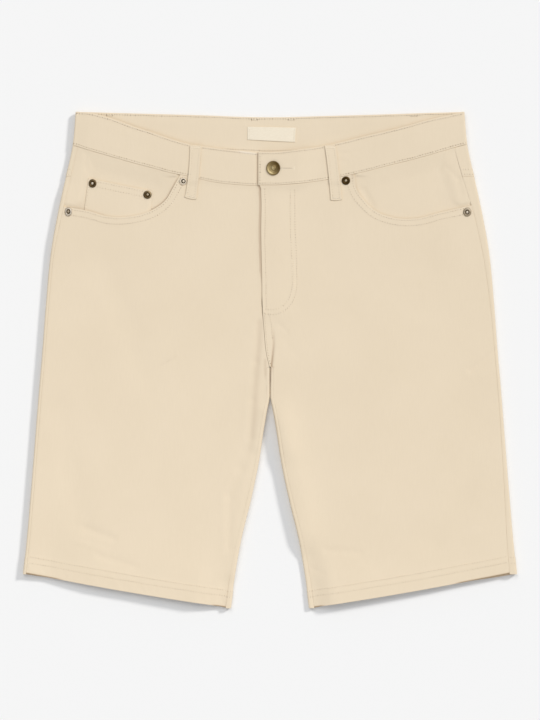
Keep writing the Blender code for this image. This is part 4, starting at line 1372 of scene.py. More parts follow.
def front_panel(side, material, thread):
    """A front: pocket mouth and waist seam above, side seam, hem, and centre front with the inseam."""
    grid, share, levels, mouth = front_grid(side)
    x = side * grid[..., 0]
    y = grid[..., 1]
    z = top_height(x, y) + hem_lift(side, share, y)
    if side == LEFT:
        z = z + fly_lift(x, y)
    cloth = laid(f"front_{SIDE_NAMES[side]}_cloth", x, y, z, hem_walls(levels)[:, None])

    mouth_line = np.column_stack([side * mouth[:, 0], mouth[:, 1]])
    from_mouth, mouth_along = nearest(mouth_line[::2], x, y, reach=16.0)
    cloth.press(raised_band(from_mouth, width=SECOND_ROW + 0.6, height=0.22))
    cloth.pucker(from_mouth, mouth_along, height=0.08, seed=31)
    for distance in PAIR:
        cloth.groove(np.abs(from_mouth - distance))
    from_waist = np.abs(waist_seam(side, np.abs(x)) - SEWN_GAP - y)
    below_band = step(np.abs(x), mouth[-1, 0] + 3.0, mouth[-1, 0])
    cloth.press(WAIST_RISE * bell(from_waist, WAIST_RISE_WIDTH) * below_band)
    if side == LEFT:
        climb = np.clip(band_lift(x) - fly_lift(x, y), 0.0, None) * bell(from_waist, CLIMB_WIDTH)
        cloth.press(CLIMB * climb * below_band)
    cloth.seam("first", seed=32)
    for fold in FRONT_SHADES:
        cloth.shade(*fold)
    shown = inseam_shown(side, y)
    cloth.press(-SEAM_PRESS * shown * bell(cloth.to["last"], SEAM_WIDTH))
    cloth.pucker_border("last", height=0.07 * shown, seed=34)
    hem_detail(cloth, seed=33)
    # Painted shade on the hem's lower edge near both ends.
    at_side, at_leg = HEM_SHADED[side]
    ends = np.maximum(step(share, at_side, at_side - 0.06), step(share, 1.0 - at_leg, 1.03 - at_leg))
    cloth.painted_shade += HEM_PAINTED_SHADE * ends * bell(cloth.to["low"], HEM_PAINTED_SHADE_WIDTH)

    rows = cloth.rows("low", HEM_ROWS)
    mouth_rows = []
    for distance in PAIR:
        path = evened(offset_path(mouth_line, -distance * side), ROW_PITCH)
        h, row_y = np.abs(path[:, 0]), path[:, 1]
        inside = (row_y < waist_seam(side, h) - 1.0) & (h < side_seam(side, row_y) - 1)
        mouth_rows.append(cloth.laid_row(path[inside]))
    if side == LEFT:
        rows += fly_rows(cloth, x, y)
        folded = nearest(evened(np.array(CROTCH_PLEAT), 3.0), x, y, reach=14.0)[0]
        deeper = step(y, *PLEAT_DEEPENS)
        cloth.press(-PLEAT_DEPTH * deeper * bell(folded, PLEAT_WIDTH))
        # Painted shade in the fold.
        painted_shade = mix(*PLEAT_PAINTED_SHADE, step(y, *PLEAT_FADES))
        cloth.painted_shade += painted_shade * deeper * bell(folded, PLEAT_PAINTED_SHADE_WIDTH)
    else:
        from_fly = front_edge(LEFT, y) - x
        recess = step(y, FLY_RECESS_FROM, FLY_RECESS_TO)
        cloth.press(FLY_RECESS_RISE * recess * step(from_fly, 5.0, 2.0))
        # Painted shadow of the fly's edge, on the right front beside it.
        taper = FLY_TAPER * step(y, *FLY_TAPER_FADES)
        cloth.painted_shade += recess * step(from_fly + taper, *FLY_PAINTED_SHADOW)
    centre_roll = mix(CROTCH_ROLL, EDGE_ROLL, step(y, *CROTCH_ROLL_TO))
    free = step(y, *INSEAM_TOP)
    cloth.roll(EDGE_ROLL, sewn=("first",), last=mix(INSEAM_ROLL + shown * SEWN_ROLL, centre_roll, free))
    thread.sew_all(rows)
    thread.sew_all(mouth_rows, hole=OPEN_HOLE)
    if side == LEFT:
        fly_tack(cloth, thread)
    return cloth.build(material), cloth


def inseam_shown(side, y):
    """How clearly the inseam shows: barely near the crotch, better near the hem."""
    return INSEAM_SHOWN[side] * step(y, *INSEAM_FROM)


def fly_tack(cloth, thread):
    """The dense stitches across the two curved rows of the fly, where its lower end is tacked."""
    points, normals = cloth.laid_row(np.array(FLY_TACK, float))
    thread.bar((points, normals), length=FLY_ROW_SPACE - 0.8, pitch=2.3)


def fly_rows(cloth, x, y):
    """The sewing of the fly on the left front: edge row, the two curved rows, and the crotch seam's pair."""
    curve = np.array(FLY_CURVE)
    at = np.linspace(0.0, 1.0, 90)
    shares = chord_share(curve)
    inner_curve = np.column_stack([through(at, shares, axis) for axis in curve.T])
    outer_curve = offset_path(inner_curve, -FLY_ROW_SPACE)
    inside = outer_curve[:, 0] > front_edge(LEFT, outer_curve[:, 1]) + 1.0
    outer_curve = outer_curve[inside]
    edge_y = np.linspace(*FLY_EDGE_FROM_TO, 60)
    edge = np.column_stack([front_edge(LEFT, edge_y) + FLY_EDGE_ROW, edge_y])
    seam_y = np.linspace(*CROTCH_SEAM_FROM_TO, 36)
    near = np.column_stack([front_edge(LEFT, seam_y) + CROTCH_NEAR_ROW, seam_y])
    far_y = np.linspace(*CROTCH_FAR_FROM_TO, 20)
    far_row = mix(*CROTCH_FAR_ROW, step(far_y, CROTCH_FAR_FROM_TO[0], 40.0))
    far = np.column_stack([front_edge(LEFT, far_y) + far_row, far_y])
    paths = [inner_curve, outer_curve, edge, near, far]
    for seed, path in enumerate(paths, start=41):
        away, along = nearest(evened(path, 4.0), x, y, reach=12.0)
        cloth.groove(away)
        cloth.pucker(away, along, height=0.05, seed=seed)
    from_seam = nearest(np.column_stack([front_edge(LEFT, seam_y), seam_y]), x, y, reach=12.0)[0]
    # Painted shade along the crotch seam.
    cloth.tone += 0.3 * bell(from_seam, 1.2)
    return [cloth.laid_row(evened(path, ROW_PITCH)) for path in paths]


FOLD_TURN = np.radians(np.linspace(90.0, -90.0, 17))


def squared(values, power):
    """Cosines or sines of a round fold, made fuller towards a square one."""
    return np.sign(values) * np.abs(values) ** power


def wrapped_row(side, side_y, inner_y, bottom_shares, top_tilt, curl, power):
    """One row of a piece that wraps round the side fold: (h, y, z) from the side seam on the upper side,
    round the fold, along the underside and, as far as curl says, round the inner leg to the inseam."""
    shoulder = half_width(side_y) - SIDE_FOLD
    seam = side_seam(side, side_y) + SEWN_GAP / 2
    tilt = top_tilt * (waist_seam(side, seam) - corner_seam(side))
    high = top_height(side * shoulder, side_y)
    low = under_height(side * shoulder, side_y)
    share = np.linspace(0.0, 1.0, 8)[:-1] ** 1.6
    top_h = mix(seam, shoulder, share)
    top_y = side_y + tilt * (1 - share)
    points = [np.column_stack([top_h, top_y, top_height(side * top_h, top_y)])]
    out = squared(np.cos(FOLD_TURN), power)
    up = squared(np.sin(FOLD_TURN), power)
    fold_z = low + (high - low) * (1 + up) / 2
    points.append(np.column_stack([shoulder + SIDE_FOLD * out, side_y + 0 * up, fold_z]))
    fold = fork_value("fold", inner_y)
    extreme = fork_value("half_gap", inner_y) + FORK_CLEARANCE
    inseam = extreme + fork_value("inseam_inset", inner_y) - SEWN_GAP / 2
    flat_start = SEWN_GAP / 2 + CURL_END + CURL_LENGTH
    curl_start = mix(flat_start, extreme + fold, curl)
    bottom_h = mix(shoulder, curl_start, bottom_shares)
    bottom_y = mix(side_y, inner_y, bottom_shares)
    bottom_z = under_height(side * bottom_h, bottom_y)
    points.append(np.column_stack([bottom_h, bottom_y, bottom_z]))
    inner_high = top_height(side * (extreme + fold), inner_y)
    inner_low = under_height(side * curl_start, inner_y)
    round_share = (1 + up[::-1]) / 2
    flat_h = flat_start - CURL_LENGTH * (0.5 - FOLD_TURN / math.pi)
    round_h = extreme + fold * (1 - out)
    curl_z = inner_low + curl * (inner_high - inner_low) * round_share
    points.append(np.column_stack([mix(flat_h, round_h, curl), inner_y + 0 * up, curl_z]))
    end_share = np.linspace(0.0, 1.0, 5)[1:]
    end_h = mix(mix(flat_h[-1], round_h[-1], curl), mix(SEWN_GAP / 2, inseam, curl), end_share)
    points.append(np.column_stack([end_h, inner_y + 0 * end_share, curl_z[-1] + 0 * end_share]))
    return np.vstack(points)


def wrapped(name, side, row_at, places, thickness):
    """A piece that wraps round the side fold, from its rows and the rounder ones its inner face follows."""
    outer = np.array([row_at(place, SQUARENESS) for place in places])
    inner = np.array([row_at(place, 1.0) for place in places])
    for row, wall in zip(inner, thickness):
        row[:, [0, 2]] = parallel(row[:, [0, 2]], wall)
    outer[..., 0] *= side
    inner[..., 0] *= side
    return Cloth(name, outer, inner)


def crumpled_underside(cloth):
    """Soft hollows where the underside has lifted off the floor, on both of its faces."""
    x = cloth.outer[..., 0]
    y = cloth.outer[..., 1]
    rise = np.clip(unevenness(UNDER_WAVES, x, y), 0.0, None)
    rise = creased(rise, UNDER_CREASES, x, y)
    rise *= np.clip(-cloth.normals[..., 2], 0.0, 1.0)
    rise *= step(np.abs(x), *CRUMPLED_FROM) * step(half_width(y) - np.abs(x), *CRUMPLED_FROM)
    cloth.outer[..., 2] += rise
    cloth.inner[..., 2] += rise


def yoke(side, material, thread):
    """A back yoke, between the waistband and the back."""
    shares = np.linspace(0.0, 1.0, 66)[1:-1]
    places = graded(1.0, YOKE_STEPS, np.array(ROW_STEPS) / YOKE_LENGTH, 0.045)

    def row_at(down, power):
        side_y = mix(corner_seam(side) - SEWN_GAP, SIDE_YOKE, down)
        inner_y = mix(CENTRE_WAIST_BACK - SEWN_GAP, CENTRE_YOKE, down)
        return wrapped_row(side, side_y, inner_y, shares, 1.0 - down, 0.0, power)

    cloth = wrapped(f"yoke_{SIDE_NAMES[side]}_cloth", side, row_at, places, [CLOTH] * len(places))
    crumpled_underside(cloth)
    by_centre = step(np.abs(cloth.outer[..., 0]), 60.0, 34.0)
    cloth.inner[..., 2] += YOKE_RISE * step(cloth.to["top"], 10.0, 1.0) * by_centre
    cloth.seam("first", seed=51, weight=0.4)
    cloth.press(raised_band(cloth.to["low"], width=SECOND_ROW, height=0.18))
    cloth.pucker_border("low", height=0.07, seed=52)
    cloth.grooves("low", PAIR)
    rows = cloth.rows("low", PAIR)
    if side == LEFT:
        rows += cloth.rows("last", PAIR)
    cloth.roll(sewn=("first", "last", "top", "low"))
    thread.sew_all(rows)
    return cloth.build(material), cloth


def back_panel(side, material, thread):
    """A back: yoke seam above, side seam on the upper side, centre back, crotch, inseam and hem."""
    shares = np.linspace(0.0, 1.0, 72)[1:-1]
    top_y = CENTRE_YOKE - SEWN_GAP
    hem = INNER_HEM - BACK_HEM_DROP
    levels = panel_levels(top_y, hem, PITCH, PITCH, EDGE_STEPS)
    at_side, at_leg = BACK_HEM_SHOWS[side]
    shown_hem = []

    def row_at(inner_y, power):
        down = (top_y - inner_y) / (top_y - hem)
        side_y = mix(SIDE_YOKE - SEWN_GAP, SIDE_HEM - BACK_HEM_DROP, down)
        row = wrapped_row(side, side_y, inner_y, shares, 0.0, curl_at(inner_y), power)
        bow = HEM_BULGE * down**BACK_HEM_POWER
        share = np.clip((row[0, 0] - row[:, 0]) / (row[0, 0] - row[-1, 0]), 0.0, 1.0)
        row[:, 1] -= bow * np.sin(math.pi * share)
        hidden = step(share, 0.0, at_side) * step(share, 1.0, 1.0 - at_leg)
        row[:, 1] += BACK_HEM_TUCK * hidden * down**BACK_HEM_POWER
        shown_hem.append(1.0 - hidden)
        return row

    cloth = wrapped(f"back_{SIDE_NAMES[side]}_cloth", side, row_at, levels, hem_walls(levels))
    crumpled_underside(cloth)
    # Painted shade on the inner face of the back's hem, where it shows below the front's.
    cloth.inner_painted_shade += step(cloth.to["low"], 8.0, 3.0) * np.array(shown_hem[: len(levels)])
    # Painted shade in the slot between the legs.
    cloth.shade(*CROTCH_SLOT)
    y = cloth.outer[..., 1]
    cloth.seam("first", seed=61, weight=mix(1.0, 0.4, step(y, 172.0, 188.0)))
    cloth.seam("top", seed=62)
    shown = np.maximum(inseam_shown(side, y), step(y, 6.0, 16.0))
    cloth.seam("last", pucker=0.04, seed=63, weight=shown)
    hem_detail(cloth, seed=64)
    rows = cloth.rows("low", HEM_ROWS)
    if side == LEFT:
        torso = int(np.searchsorted(-levels, 10.0))
        rows += cloth.rows("last", PAIR, columns=slice(0, torso))
    cloth.roll(sewn=("first", "top"), last=INSEAM_ROLL + shown * SEWN_ROLL)
    thread.sew_all(rows)
    return cloth.build(material), cloth


def pocket_facing(side, material):
    """The facing that fills the pocket mouth and runs a little way under the front."""
    columns = graded(1.0, FACING_STEPS, (0.0, 0.004, 0.012), 0.011)
    mouth = pocket_mouth(side, columns)
    low = mouth - np.column_stack([FACING_MARGIN[0] * columns, np.full(len(columns), FACING_MARGIN[1])])
    side_y = mouth[0, 1] - FACING_MARGIN[1]
    down = graded(1.0, FACING_STEPS, (0.0, 0.01), 0.017)
    outer_y = mix(corner_seam(side) - SEWN_GAP, side_y, down)
    outer_h = side_seam(side, outer_y) - SEWN_GAP / 2
    outer_y = outer_y - (1 - down) * (corner_seam(side) - waist_seam(side, outer_h))
    top_h = mix(outer_h[0], low[-1, 0], columns)
    top = np.column_stack([top_h, waist_seam(side, top_h) - SEWN_GAP])
    outer = np.column_stack([outer_h, outer_y])
    inner = mix(top[-1], low[-1], down[:, None])
    low[0] = outer[-1]
    top[0] = outer[0]
    grid = coons(top, low, outer, inner, columns, down)
    h = grid[..., 0]
    y = grid[..., 1]
    from_mouth = nearest(mouth * (side, 1), side * h, y, reach=24.0)[0]
    to_side = side_seam(side, y) - h
    to_waist = waist_seam(side, h) - y
    rise = np.maximum(step(to_side, 16.0, 0.0), step(to_waist, 22.0, 0.0))
    near_side = step(to_side, 26.0, 12.0)
    near_edge = np.maximum(near_side, step(to_waist, 7.0, 2.0))
    rise = np.maximum(rise, near_side)
    rise *= step(from_mouth, 3.0 - 2.4 * near_edge, 20.0 - 15.0 * near_edge)
    rise *= y > np.interp(h, mouth[::-1, 0], mouth[::-1, 1])
    z = top_height(side * h, y) - facing_depth(side, h, y) + FACING_RISE[side] * rise
    cloth = laid(f"pocket_facing_{SIDE_NAMES[side]}_cloth", side * h, y, z)
    cloth.press(FACING_WAIST_RISE * bell(to_waist, WAIST_RISE_WIDTH))
    cloth.seam("first", seed=71, weight=0.3)
    cloth.seam("top", depth=0.06, tone=0.3, seed=72)
    if side == RIGHT:
        # Painted shadow of the front's edge along the mouth.
        shaded = step(from_mouth, *MOUTH_PAINTED_SHADOW) * step(h, mouth[-1, 0] + 62.0, mouth[-1, 0] + 30.0)
        cloth.painted_shade += MOUTH_PAINTED_SHADOW_STRENGTH * shaded * step(to_waist, 2.0, 9.0)
        # Painted shade beside the coin pocket's outer edge.
        by_coin = np.abs(x_of_coin_edge(y) - 6.0 + h)
        cloth.painted_shade += BESIDE_COIN_PAINTED_SHADE * bell(by_coin, 7.0) * step(y, 192.0, 178.0)
    else:
        # Painted shade where the side seam gapes.
        cloth.shade(*SIDE_SEAM_GAPE)
    cloth.roll(sewn=("first", "last", "top", "low"))
    return cloth.build(material), cloth


def x_of_coin_edge(y):
    """The outer edge of the coin pocket."""
    upper, lower = COIN_CORNERS[0], COIN_CORNERS[3]
    return mix(upper[0], lower[0], (upper[1] - y) / (upper[1] - lower[1]))


def coin_pocket(material, thread):
    """The small pocket on the right facing, its lower end under the front."""
    width, length = COIN_SIZE
    across = graded_shares(width, EDGE_STEPS, EDGE_STEPS, 0.018)
    down = graded(1.0, np.array(ROW_STEPS) / length, (0.0, 0.02), 0.04)
    x, y = stretched(COIN_CORNERS, down, across)
    cloth = laid("coin_pocket_cloth", x, y, top_height(x, y) - COIN_RIVET_DEPTH)
    cloth.press(raised_band(cloth.to["top"], width=SECOND_ROW, height=0.12))
    cloth.pucker_border("top", height=0.08, seed=75)
    cloth.grooves("top", PAIR)
    cloth.grooves("first", [COIN_ROW])
    cloth.press(-0.75 * bell(cloth.to["last"], 2.4))
    # A soft band of painted shade across the coin pocket near its lower end, towards its outer side.
    cloth.tone += 0.5 * bell(cloth.outer[..., 1] - 170.0, 9.0) * step(x, -170.0, -215.0)
    # Painted shadow along the pocket mouth where it crosses the coin pocket.
    mouth = pocket_mouth(RIGHT, GUIDE) * (-1, 1)
    from_mouth = nearest(mouth, x, y, reach=12.0)[0]
    cloth.painted_shade += 0.5 * bell(from_mouth, 1.6) * step(x, -186.0, -200.0)
    rows = cloth.rows("top", PAIR, trim=(9.0, 9.0))
    rows += cloth.rows("first", [COIN_ROW], trim=(2.0, 0.0))
    cloth.roll(0.3, last=0.08)
    thread.sew_all(rows, radius=0.26, hole=0.34)
    return cloth.build(material), cloth


# ---------------------------------------------------------------- the waistband


def band_row(share, power=1.0):
    """One line along the waistband, from the underlap round the back to the overlap, in (x, y, z)."""
    points = []

    def fold(side, order):
        y = mix(band_top(side, WAIST["h"][-1]), corner_seam(side), share)
        shoulder = half_width(y) - SIDE_FOLD
        high = top_height(side * shoulder, y) + BAND_PROUD
        low = under_height(side * shoulder, y)
        z = low + (high - low) * (1 + squared(np.sin(order), power)) / 2
        out = SIDE_FOLD * squared(np.cos(order), power)
        points.append(np.column_stack([side * (shoulder + out), y + 0 * z, z]))

    def front(side, h):
        seam = waist_seam(side, h)
        if side == RIGHT:
            seam = np.where(h < WAIST["h"][0], np.maximum(seam, waist_seam(LEFT, -h) + SEAM_GAP), seam)
        y = mix(band_top(side, h), seam, share)
        z = top_height(side * h, y) + BAND_PROUD
        if side == LEFT:
            z = z + band_lift(h)
        points.append(np.column_stack([side * h, y, z]))

    shoulder_y = mix(band_top(RIGHT, WAIST["h"][-1]), corner_seam(RIGHT), share)
    reach = half_width(shoulder_y) - SIDE_FOLD
    end_share = graded(1.0, np.array(EDGE_STEPS) / BAND_REACH, (0.0, 0.004), 0.0075)
    front(RIGHT, mix(UNDERLAP_END, reach, end_share)[:-1])
    fold(RIGHT, FOLD_TURN)
    x = np.linspace(-reach, reach, 150)[1:-1]
    y = mix(back_top(x), back_seam(x), share)
    points.append(np.column_stack([x, y, under_height(x, y)]))
    fold(LEFT, FOLD_TURN[::-1])
    front(LEFT, mix(OVERLAP_END, reach, end_share)[:-1][::-1])
    return np.vstack(points)


def keyhole(radius, half_width_of_slit, cells=14):
    """The outline of the buttonhole: an eyelet round the shank with a slit, in (x, y)."""
    opening = math.asin(half_width_of_slit / radius)
    turns = np.linspace(opening, 2 * math.pi - opening, cells + 1)
    outline = [(BUTTON_AT[0] + radius * math.cos(a), BUTTON_AT[1] + radius * math.sin(a)) for a in turns]
    middle = SLIT_END - SLIT_HALF_WIDTH
    for a in np.linspace(-math.pi / 2, math.pi / 2, 7):
        x = middle + half_width_of_slit * math.cos(a)
        outline.append((x, BUTTON_AT[1] + half_width_of_slit * math.sin(a)))
    return np.array(outline)


def underlap_height():
    return float(top_height(*BUTTON_AT)) + BAND_PROUD


def overlap_height():
    return underlap_height() + BAND_CLOTH + SEAM_GAP


def cut_buttonhole(band):
    """Cuts the keyhole through the overlap alone."""
    low = underlap_height() + SEAM_GAP / 2
    high = overlap_height() + BAND_CLOTH
    shape = bmesh.new()
    ring = [shape.verts.new((x * MM, y * MM, low * MM)) for x, y in keyhole(EYELET_RADIUS, CLOSED_SLIT)]
    grown = bmesh.ops.extrude_face_region(shape, geom=[shape.faces.new(ring)])
    raised = [item for item in grown["geom"] if isinstance(item, bmesh.types.BMVert)]
    bmesh.ops.translate(shape, verts=raised, vec=(0, 0, (high - low) * MM))
    bmesh.ops.recalc_face_normals(shape, faces=shape.faces)
    mesh = bpy.data.meshes.new("keyhole")
    shape.to_mesh(mesh)
    shape.free()
    cutter = placed_object("keyhole", mesh)
    cut = band.modifiers.new("buttonhole", "BOOLEAN")
    cut.operation = "DIFFERENCE"
    cut.solver = "MANIFOLD"
    cut.object = cutter
    bpy.context.view_layer.update()
    evaluated = band.evaluated_get(bpy.context.evaluated_depsgraph_get())
    band.data = bpy.data.meshes.new_from_object(evaluated)
    band.data.set_sharp_from_angle(angle=math.radians(SHARP_ANGLE))
    band.modifiers.clear()
    bpy.data.objects.remove(cutter, do_unlink=True)


def waistband(material, thread):
    """The double waistband, one strip with the right end under the left."""
    shares = graded_shares(BAND_HEIGHT, EDGE_STEPS, EDGE_STEPS, 0.045)
    outer = np.array([band_row(share, SQUARENESS) for share in shares])
    inner = np.array([band_row(share) for share in shares])
    for row in inner:
        row[:, [0, 2]] = parallel(row[:, [0, 2]] * (-1, 1), BAND_CLOTH) * (-1, 1)
    faces = [Cloth("waistband_cloth", outer, inner), Cloth("waistband_inside", inner, outer, outward=-1)]
    for number, face in enumerate(faces):
        x = face.outer[..., 0]
        seen = np.clip(np.abs(face.normals[..., 2]), 0.0, 1.0)
        for border, seed in (("top", 81), ("low", 82)):
            face.pucker_border(border, height=0.09 * seen, seed=seed + 5 * number)
            face.grooves(border, [BAND_ROWS[number][border]])
        middle = np.minimum(face.to["top"], face.to["low"])
        face.press(BAND_FILL * step(middle, 3.0, 12.0) * seen)
        if number == 1:
            back = (face.normals[..., 2] > 0.9) * (face.outer[..., 2] < BACK_BELOW)
            near_front = bell(face.to["low"], 6.0) * step(np.abs(x), 115.0, 60.0)
            face.press(BACK_BAND_RISE * near_front * back)
        if number == 0:
            for border in ("first", "last"):
                face.grooves(border, [FIRST_ROW])
            y = face.outer[..., 1]
            high = step(face.outer[..., 2], *OVERLAP_LEVEL)
            on_top = face.outer[..., 2] > TOP_FROM
            # A paler colour painted along the underlap's upper edge.
            paler_edge = step(x, *UNDERLAP_PALER_FROM) * step(x, OVERLAP_END + 1.0, OVERLAP_END - 4.0) * on_top
            face.fade += UNDERLAP_PALER * paler_edge * step(face.to["top"], 3.4, 2.2)
            from_hole = np.hypot(x - BUTTON_AT[0], y - BUTTON_AT[1])
            face.press(-BUTTON_PRESS * bell(from_hole, 9.0) * high)
            from_end = OVERLAP_END - x
            underlap = (1 - high) * on_top * (from_end > -8.0) * (y < 250.0)
            face.press(-UNDERLAP_PRESS * underlap * step(from_end, 6.0, 2.0))
            # Painted shadow on the underlap beside the overlap's end.
            face.painted_shade += UNDERLAP_PAINTED_SHADOW * underlap * step(from_end, 2.4, 1.5)
    corner = (FIRST_ROW, FIRST_ROW)
    rows = [faces[0].row(border, FIRST_ROW, trim=corner) for border in ("top", "low", "first", "last")]
    for border in ("top", "low"):
        points, normals = faces[1].row(border, BAND_ROWS[1][border])
        back = (normals[:, 2] > 0.95) & (points[:, 2] < BACK_BELOW)
        rows.append((points[back], normals[back]))
    faces[0].roll(BAND_ROLL, top=BAND_EDGE_ROLL, low=BAND_EDGE_ROLL)
    faces[1].roll(BAND_ROLL, sewn=("low",))
    thread.sew_all(rows, hole=BAND_HOLE)
    for x in BACK_LOOPS_X:
        y = float(back_top(x)) - TACK_INSET
        z = float(under_height(x, y)) + BAND_CLOTH + 0.2
        thread.bar(flat_row((x - 3.0, y), (x + 3.0, y), z), length=1.5, pitch=0.75)
        # Discs of painted shade for the needle holes at the tack's ends.
        for end in (-3.4, 3.4):
            thread.hole(np.array((x + end, y, z)), np.array((0.0, 0.0, 1.0)), radius=0.6)
    cloth = faces[0]
    cloth.inner = faces[1].outer
    obj = cloth.build(material, skip=1)
    cut_buttonhole(obj)
    return obj, cloth


def buttonhole_stitches(thread):
    """The dense purl round the keyhole, and a bar across its end."""
    z = overlap_height() - 0.1
    path = evened(keyhole(EYELET_RADIUS + 0.9, CLOSED_SLIT + 0.85, cells=20), pitch=0.7)
    points = np.column_stack([path, top_height(path[:, 0], path[:, 1]) + z - float(top_height(*BUTTON_AT))])
    normals = np.tile((0.0, 0.0, 1.0), (len(points), 1))
    thread.bar((points, normals), length=1.9, pitch=0.55, radius=0.24)
    end = SLIT_END + 1.6
    thread.bar(flat_row((end, BUTTON_AT[1] - 2.0), (end, BUTTON_AT[1] + 2.0), z), length=1.6, pitch=0.5)


# ---------------------------------------------------------------- loops, back pockets, label


def under(name, x, y):
    """A piece of even thickness on the floor, its outer face down."""
    lower = np.stack([x, y, np.zeros_like(x)], axis=-1)
    return Cloth(name, lower, lower + (0.0, 0.0, CLOTH), outward=-1)


def strap_detail(cloth, thread):
    """Two rows along a belt loop, folded edges, and a bartack near each end."""
    away = np.minimum(cloth.to["first"], cloth.to["last"])
    cloth.press(0.1 * bell(away, 1.8))
    cloth.groove(np.abs(away - STRAP_ROW), depth=0.1, tone=0.1)
    rows = [cloth.row(border, STRAP_ROW, trim=(3.0, 3.0)) for border in ("first", "last")]
    tacks = [cloth.row(border, distance, trim=(1.4, 1.4)) for border, distance in STRAP_TACKS.items()]
    cloth.press(-0.12 * bell(cloth.to["low"] - STRAP_TACKS["low"], 1.6))
    cloth.roll(0.35)
    thread.sew_all(rows, radius=0.22, hole=0.3)
    for tack in tacks:
        thread.bar(tack, length=1.7, pitch=0.55, radius=0.24)


def front_loop(number, loop, material, thread):
    """A belt loop over the waistband, sewn down below it, its lower end spread a little."""
    side = int(math.copysign(1, loop.top_x))
    length = loop.top_y - loop.low_y
    down = graded_shares(length, EDGE_STEPS, EDGE_STEPS, FINE_PITCH / length)
    across = graded_shares(LOOP_WIDTH, STRAP_STEPS, STRAP_STEPS, 0.09) - 0.5
    y = loop.top_y - down * length
    x = mix(loop.top_x, loop.low_x, down**loop.bend)
    seam = waist_seam(side, np.abs(x))
    on_band = step(y, seam - LOOP_DROP[0], seam - LOOP_DROP[1])
    slack = LOOP_SLACK * np.sin(math.pi * np.minimum(down / LOOP_SLACK_END, 1.0))
    lift = band_lift(x) if side == LEFT else 0.0 * x
    z = top_height(x, y) + on_band * (BAND_PROUD + slack + lift) + SEAM_GAP + CLOTH
    flare = 1.0 + 0.05 * step(down, 0.9, 1.0) - 0.03 * np.sin(math.pi * np.clip(down / 0.9, 0.0, 1.0))
    grid_x = x[:, None] + across[None] * LOOP_WIDTH * flare[:, None]
    grid_y = y[:, None] - 0.9 * step(down, 0.93, 1.0)[:, None] * (0.25 - across[None] ** 2) * 4
    grid_y = grid_y + loop.slant * across[None] * step(down, 0.6, 1.0)[:, None]
    cloth = laid(f"belt_loop_{number}_cloth", grid_x, grid_y, z[:, None] + 0 * grid_x)
    strap_detail(cloth, thread)
    return cloth.build(material), cloth


def back_loop(number, x_middle, material, thread):
    """A belt loop on the outside of the back waistband, which is the underside here."""
    top = float(back_top(x_middle)) - BACK_LOOP_INSET
    low = float(back_seam(x_middle)) - BACK_LOOP_REACH
    half = LOOP_WIDTH / 2
    length = top - low
    down = graded_shares(length, EDGE_STEPS, EDGE_STEPS, 2.5 / length)
    across = graded_shares(LOOP_WIDTH, STRAP_STEPS, STRAP_STEPS, 0.09)
    corners = ((x_middle - half, top), (x_middle + half, top), (x_middle + half, low), (x_middle - half, low))
    x, y = stretched(corners, down, across)
    cloth = under(f"belt_loop_{number}_cloth", x, y)
    strap_detail(cloth, thread)
    return cloth.build(material), cloth


def back_pocket(side, material, thread):
    """A patch pocket with a pointed lower edge, on the outside of the back."""
    width = BACK_POCKET["outer"] - BACK_POCKET["inner"]
    across = graded_shares(width, ROW_STEPS, ROW_STEPS, 0.03)
    h = mix(BACK_POCKET["inner"], BACK_POCKET["outer"], across)
    low = BACK_POCKET["bottom"] - BACK_POCKET["point"] * (1 - np.abs(2 * across - 1))
    down = graded_shares(BACK_POCKET_LENGTH, HEM_STEPS, ROW_STEPS, 0.03)[:, None]
    y = mix(BACK_POCKET["top"], low[None, :], down)
    taper = 1.0 - BACK_POCKET_TAPER * down
    middle = (BACK_POCKET["inner"] + BACK_POCKET["outer"]) / 2
    x = side * (middle + (h[None, :] - middle) * taper)
    cloth = under(f"back_pocket_{SIDE_NAMES[side]}_cloth", x, y)
    cloth.pucker_border("low", height=0.08, seed=91)
    rows = []
    for border in ("first", "last", "low"):
        cloth.grooves(border, PAIR)
        rows += cloth.rows(border, PAIR)
    cloth.grooves("top", HEM_ROWS)
    rows += cloth.rows("top", HEM_ROWS, trim=(9.0, 9.0))
    cloth.roll()
    thread.sew_all(rows)
    return cloth.build(material), cloth


def label(material, thread):
    """The plain woven label on the inside of the back waistband, sewn down at its short ends."""
    width, length = LABEL_SIZE
    across = graded_shares(width, EDGE_STEPS, EDGE_STEPS, 0.03)
    down = graded_shares(length, STRAP_STEPS, STRAP_STEPS, 0.09)
    x, y = stretched(LABEL_CORNERS, down, across)
    z = under_height(x, y) + BAND_CLOTH + SEAM_GAP + LABEL_CLOTH
    cloth = laid("label_ribbon", x, y, z, LABEL_CLOTH)
    away = np.minimum(cloth.to["first"], cloth.to["last"])
    cloth.press(0.22 * step(away, 2.0, 10.0) + 0.1 * bumps(x, y, 11.0, 95))
    cloth.groove(np.abs(away - LABEL_ROW), depth=0.15)
    rows = [cloth.row(border, LABEL_ROW, trim=(1.0, 1.0)) for border in ("first", "last")]
    cloth.roll(0.3)
    thread.sew_all(rows, pitch=2.2, radius=0.2, hole=0.25)
    return cloth.build(material), cloth


# ---------------------------------------------------------------- metal


class Finish(NamedTuple):
    """How far each zone is rubbed bright; then painted light: the direction in degrees of the side painted
    brighter, and how much darker the far side is painted; how wide and how high the tilted piece looks, as
    shares of its drawn size; and how far its middle leans aside."""

    base: float
    rim: float
    flange: float
    groove: float
    nub: float
    towards: float
    painted_light_falloff: float
    width: float
    height: float
    lean: tuple


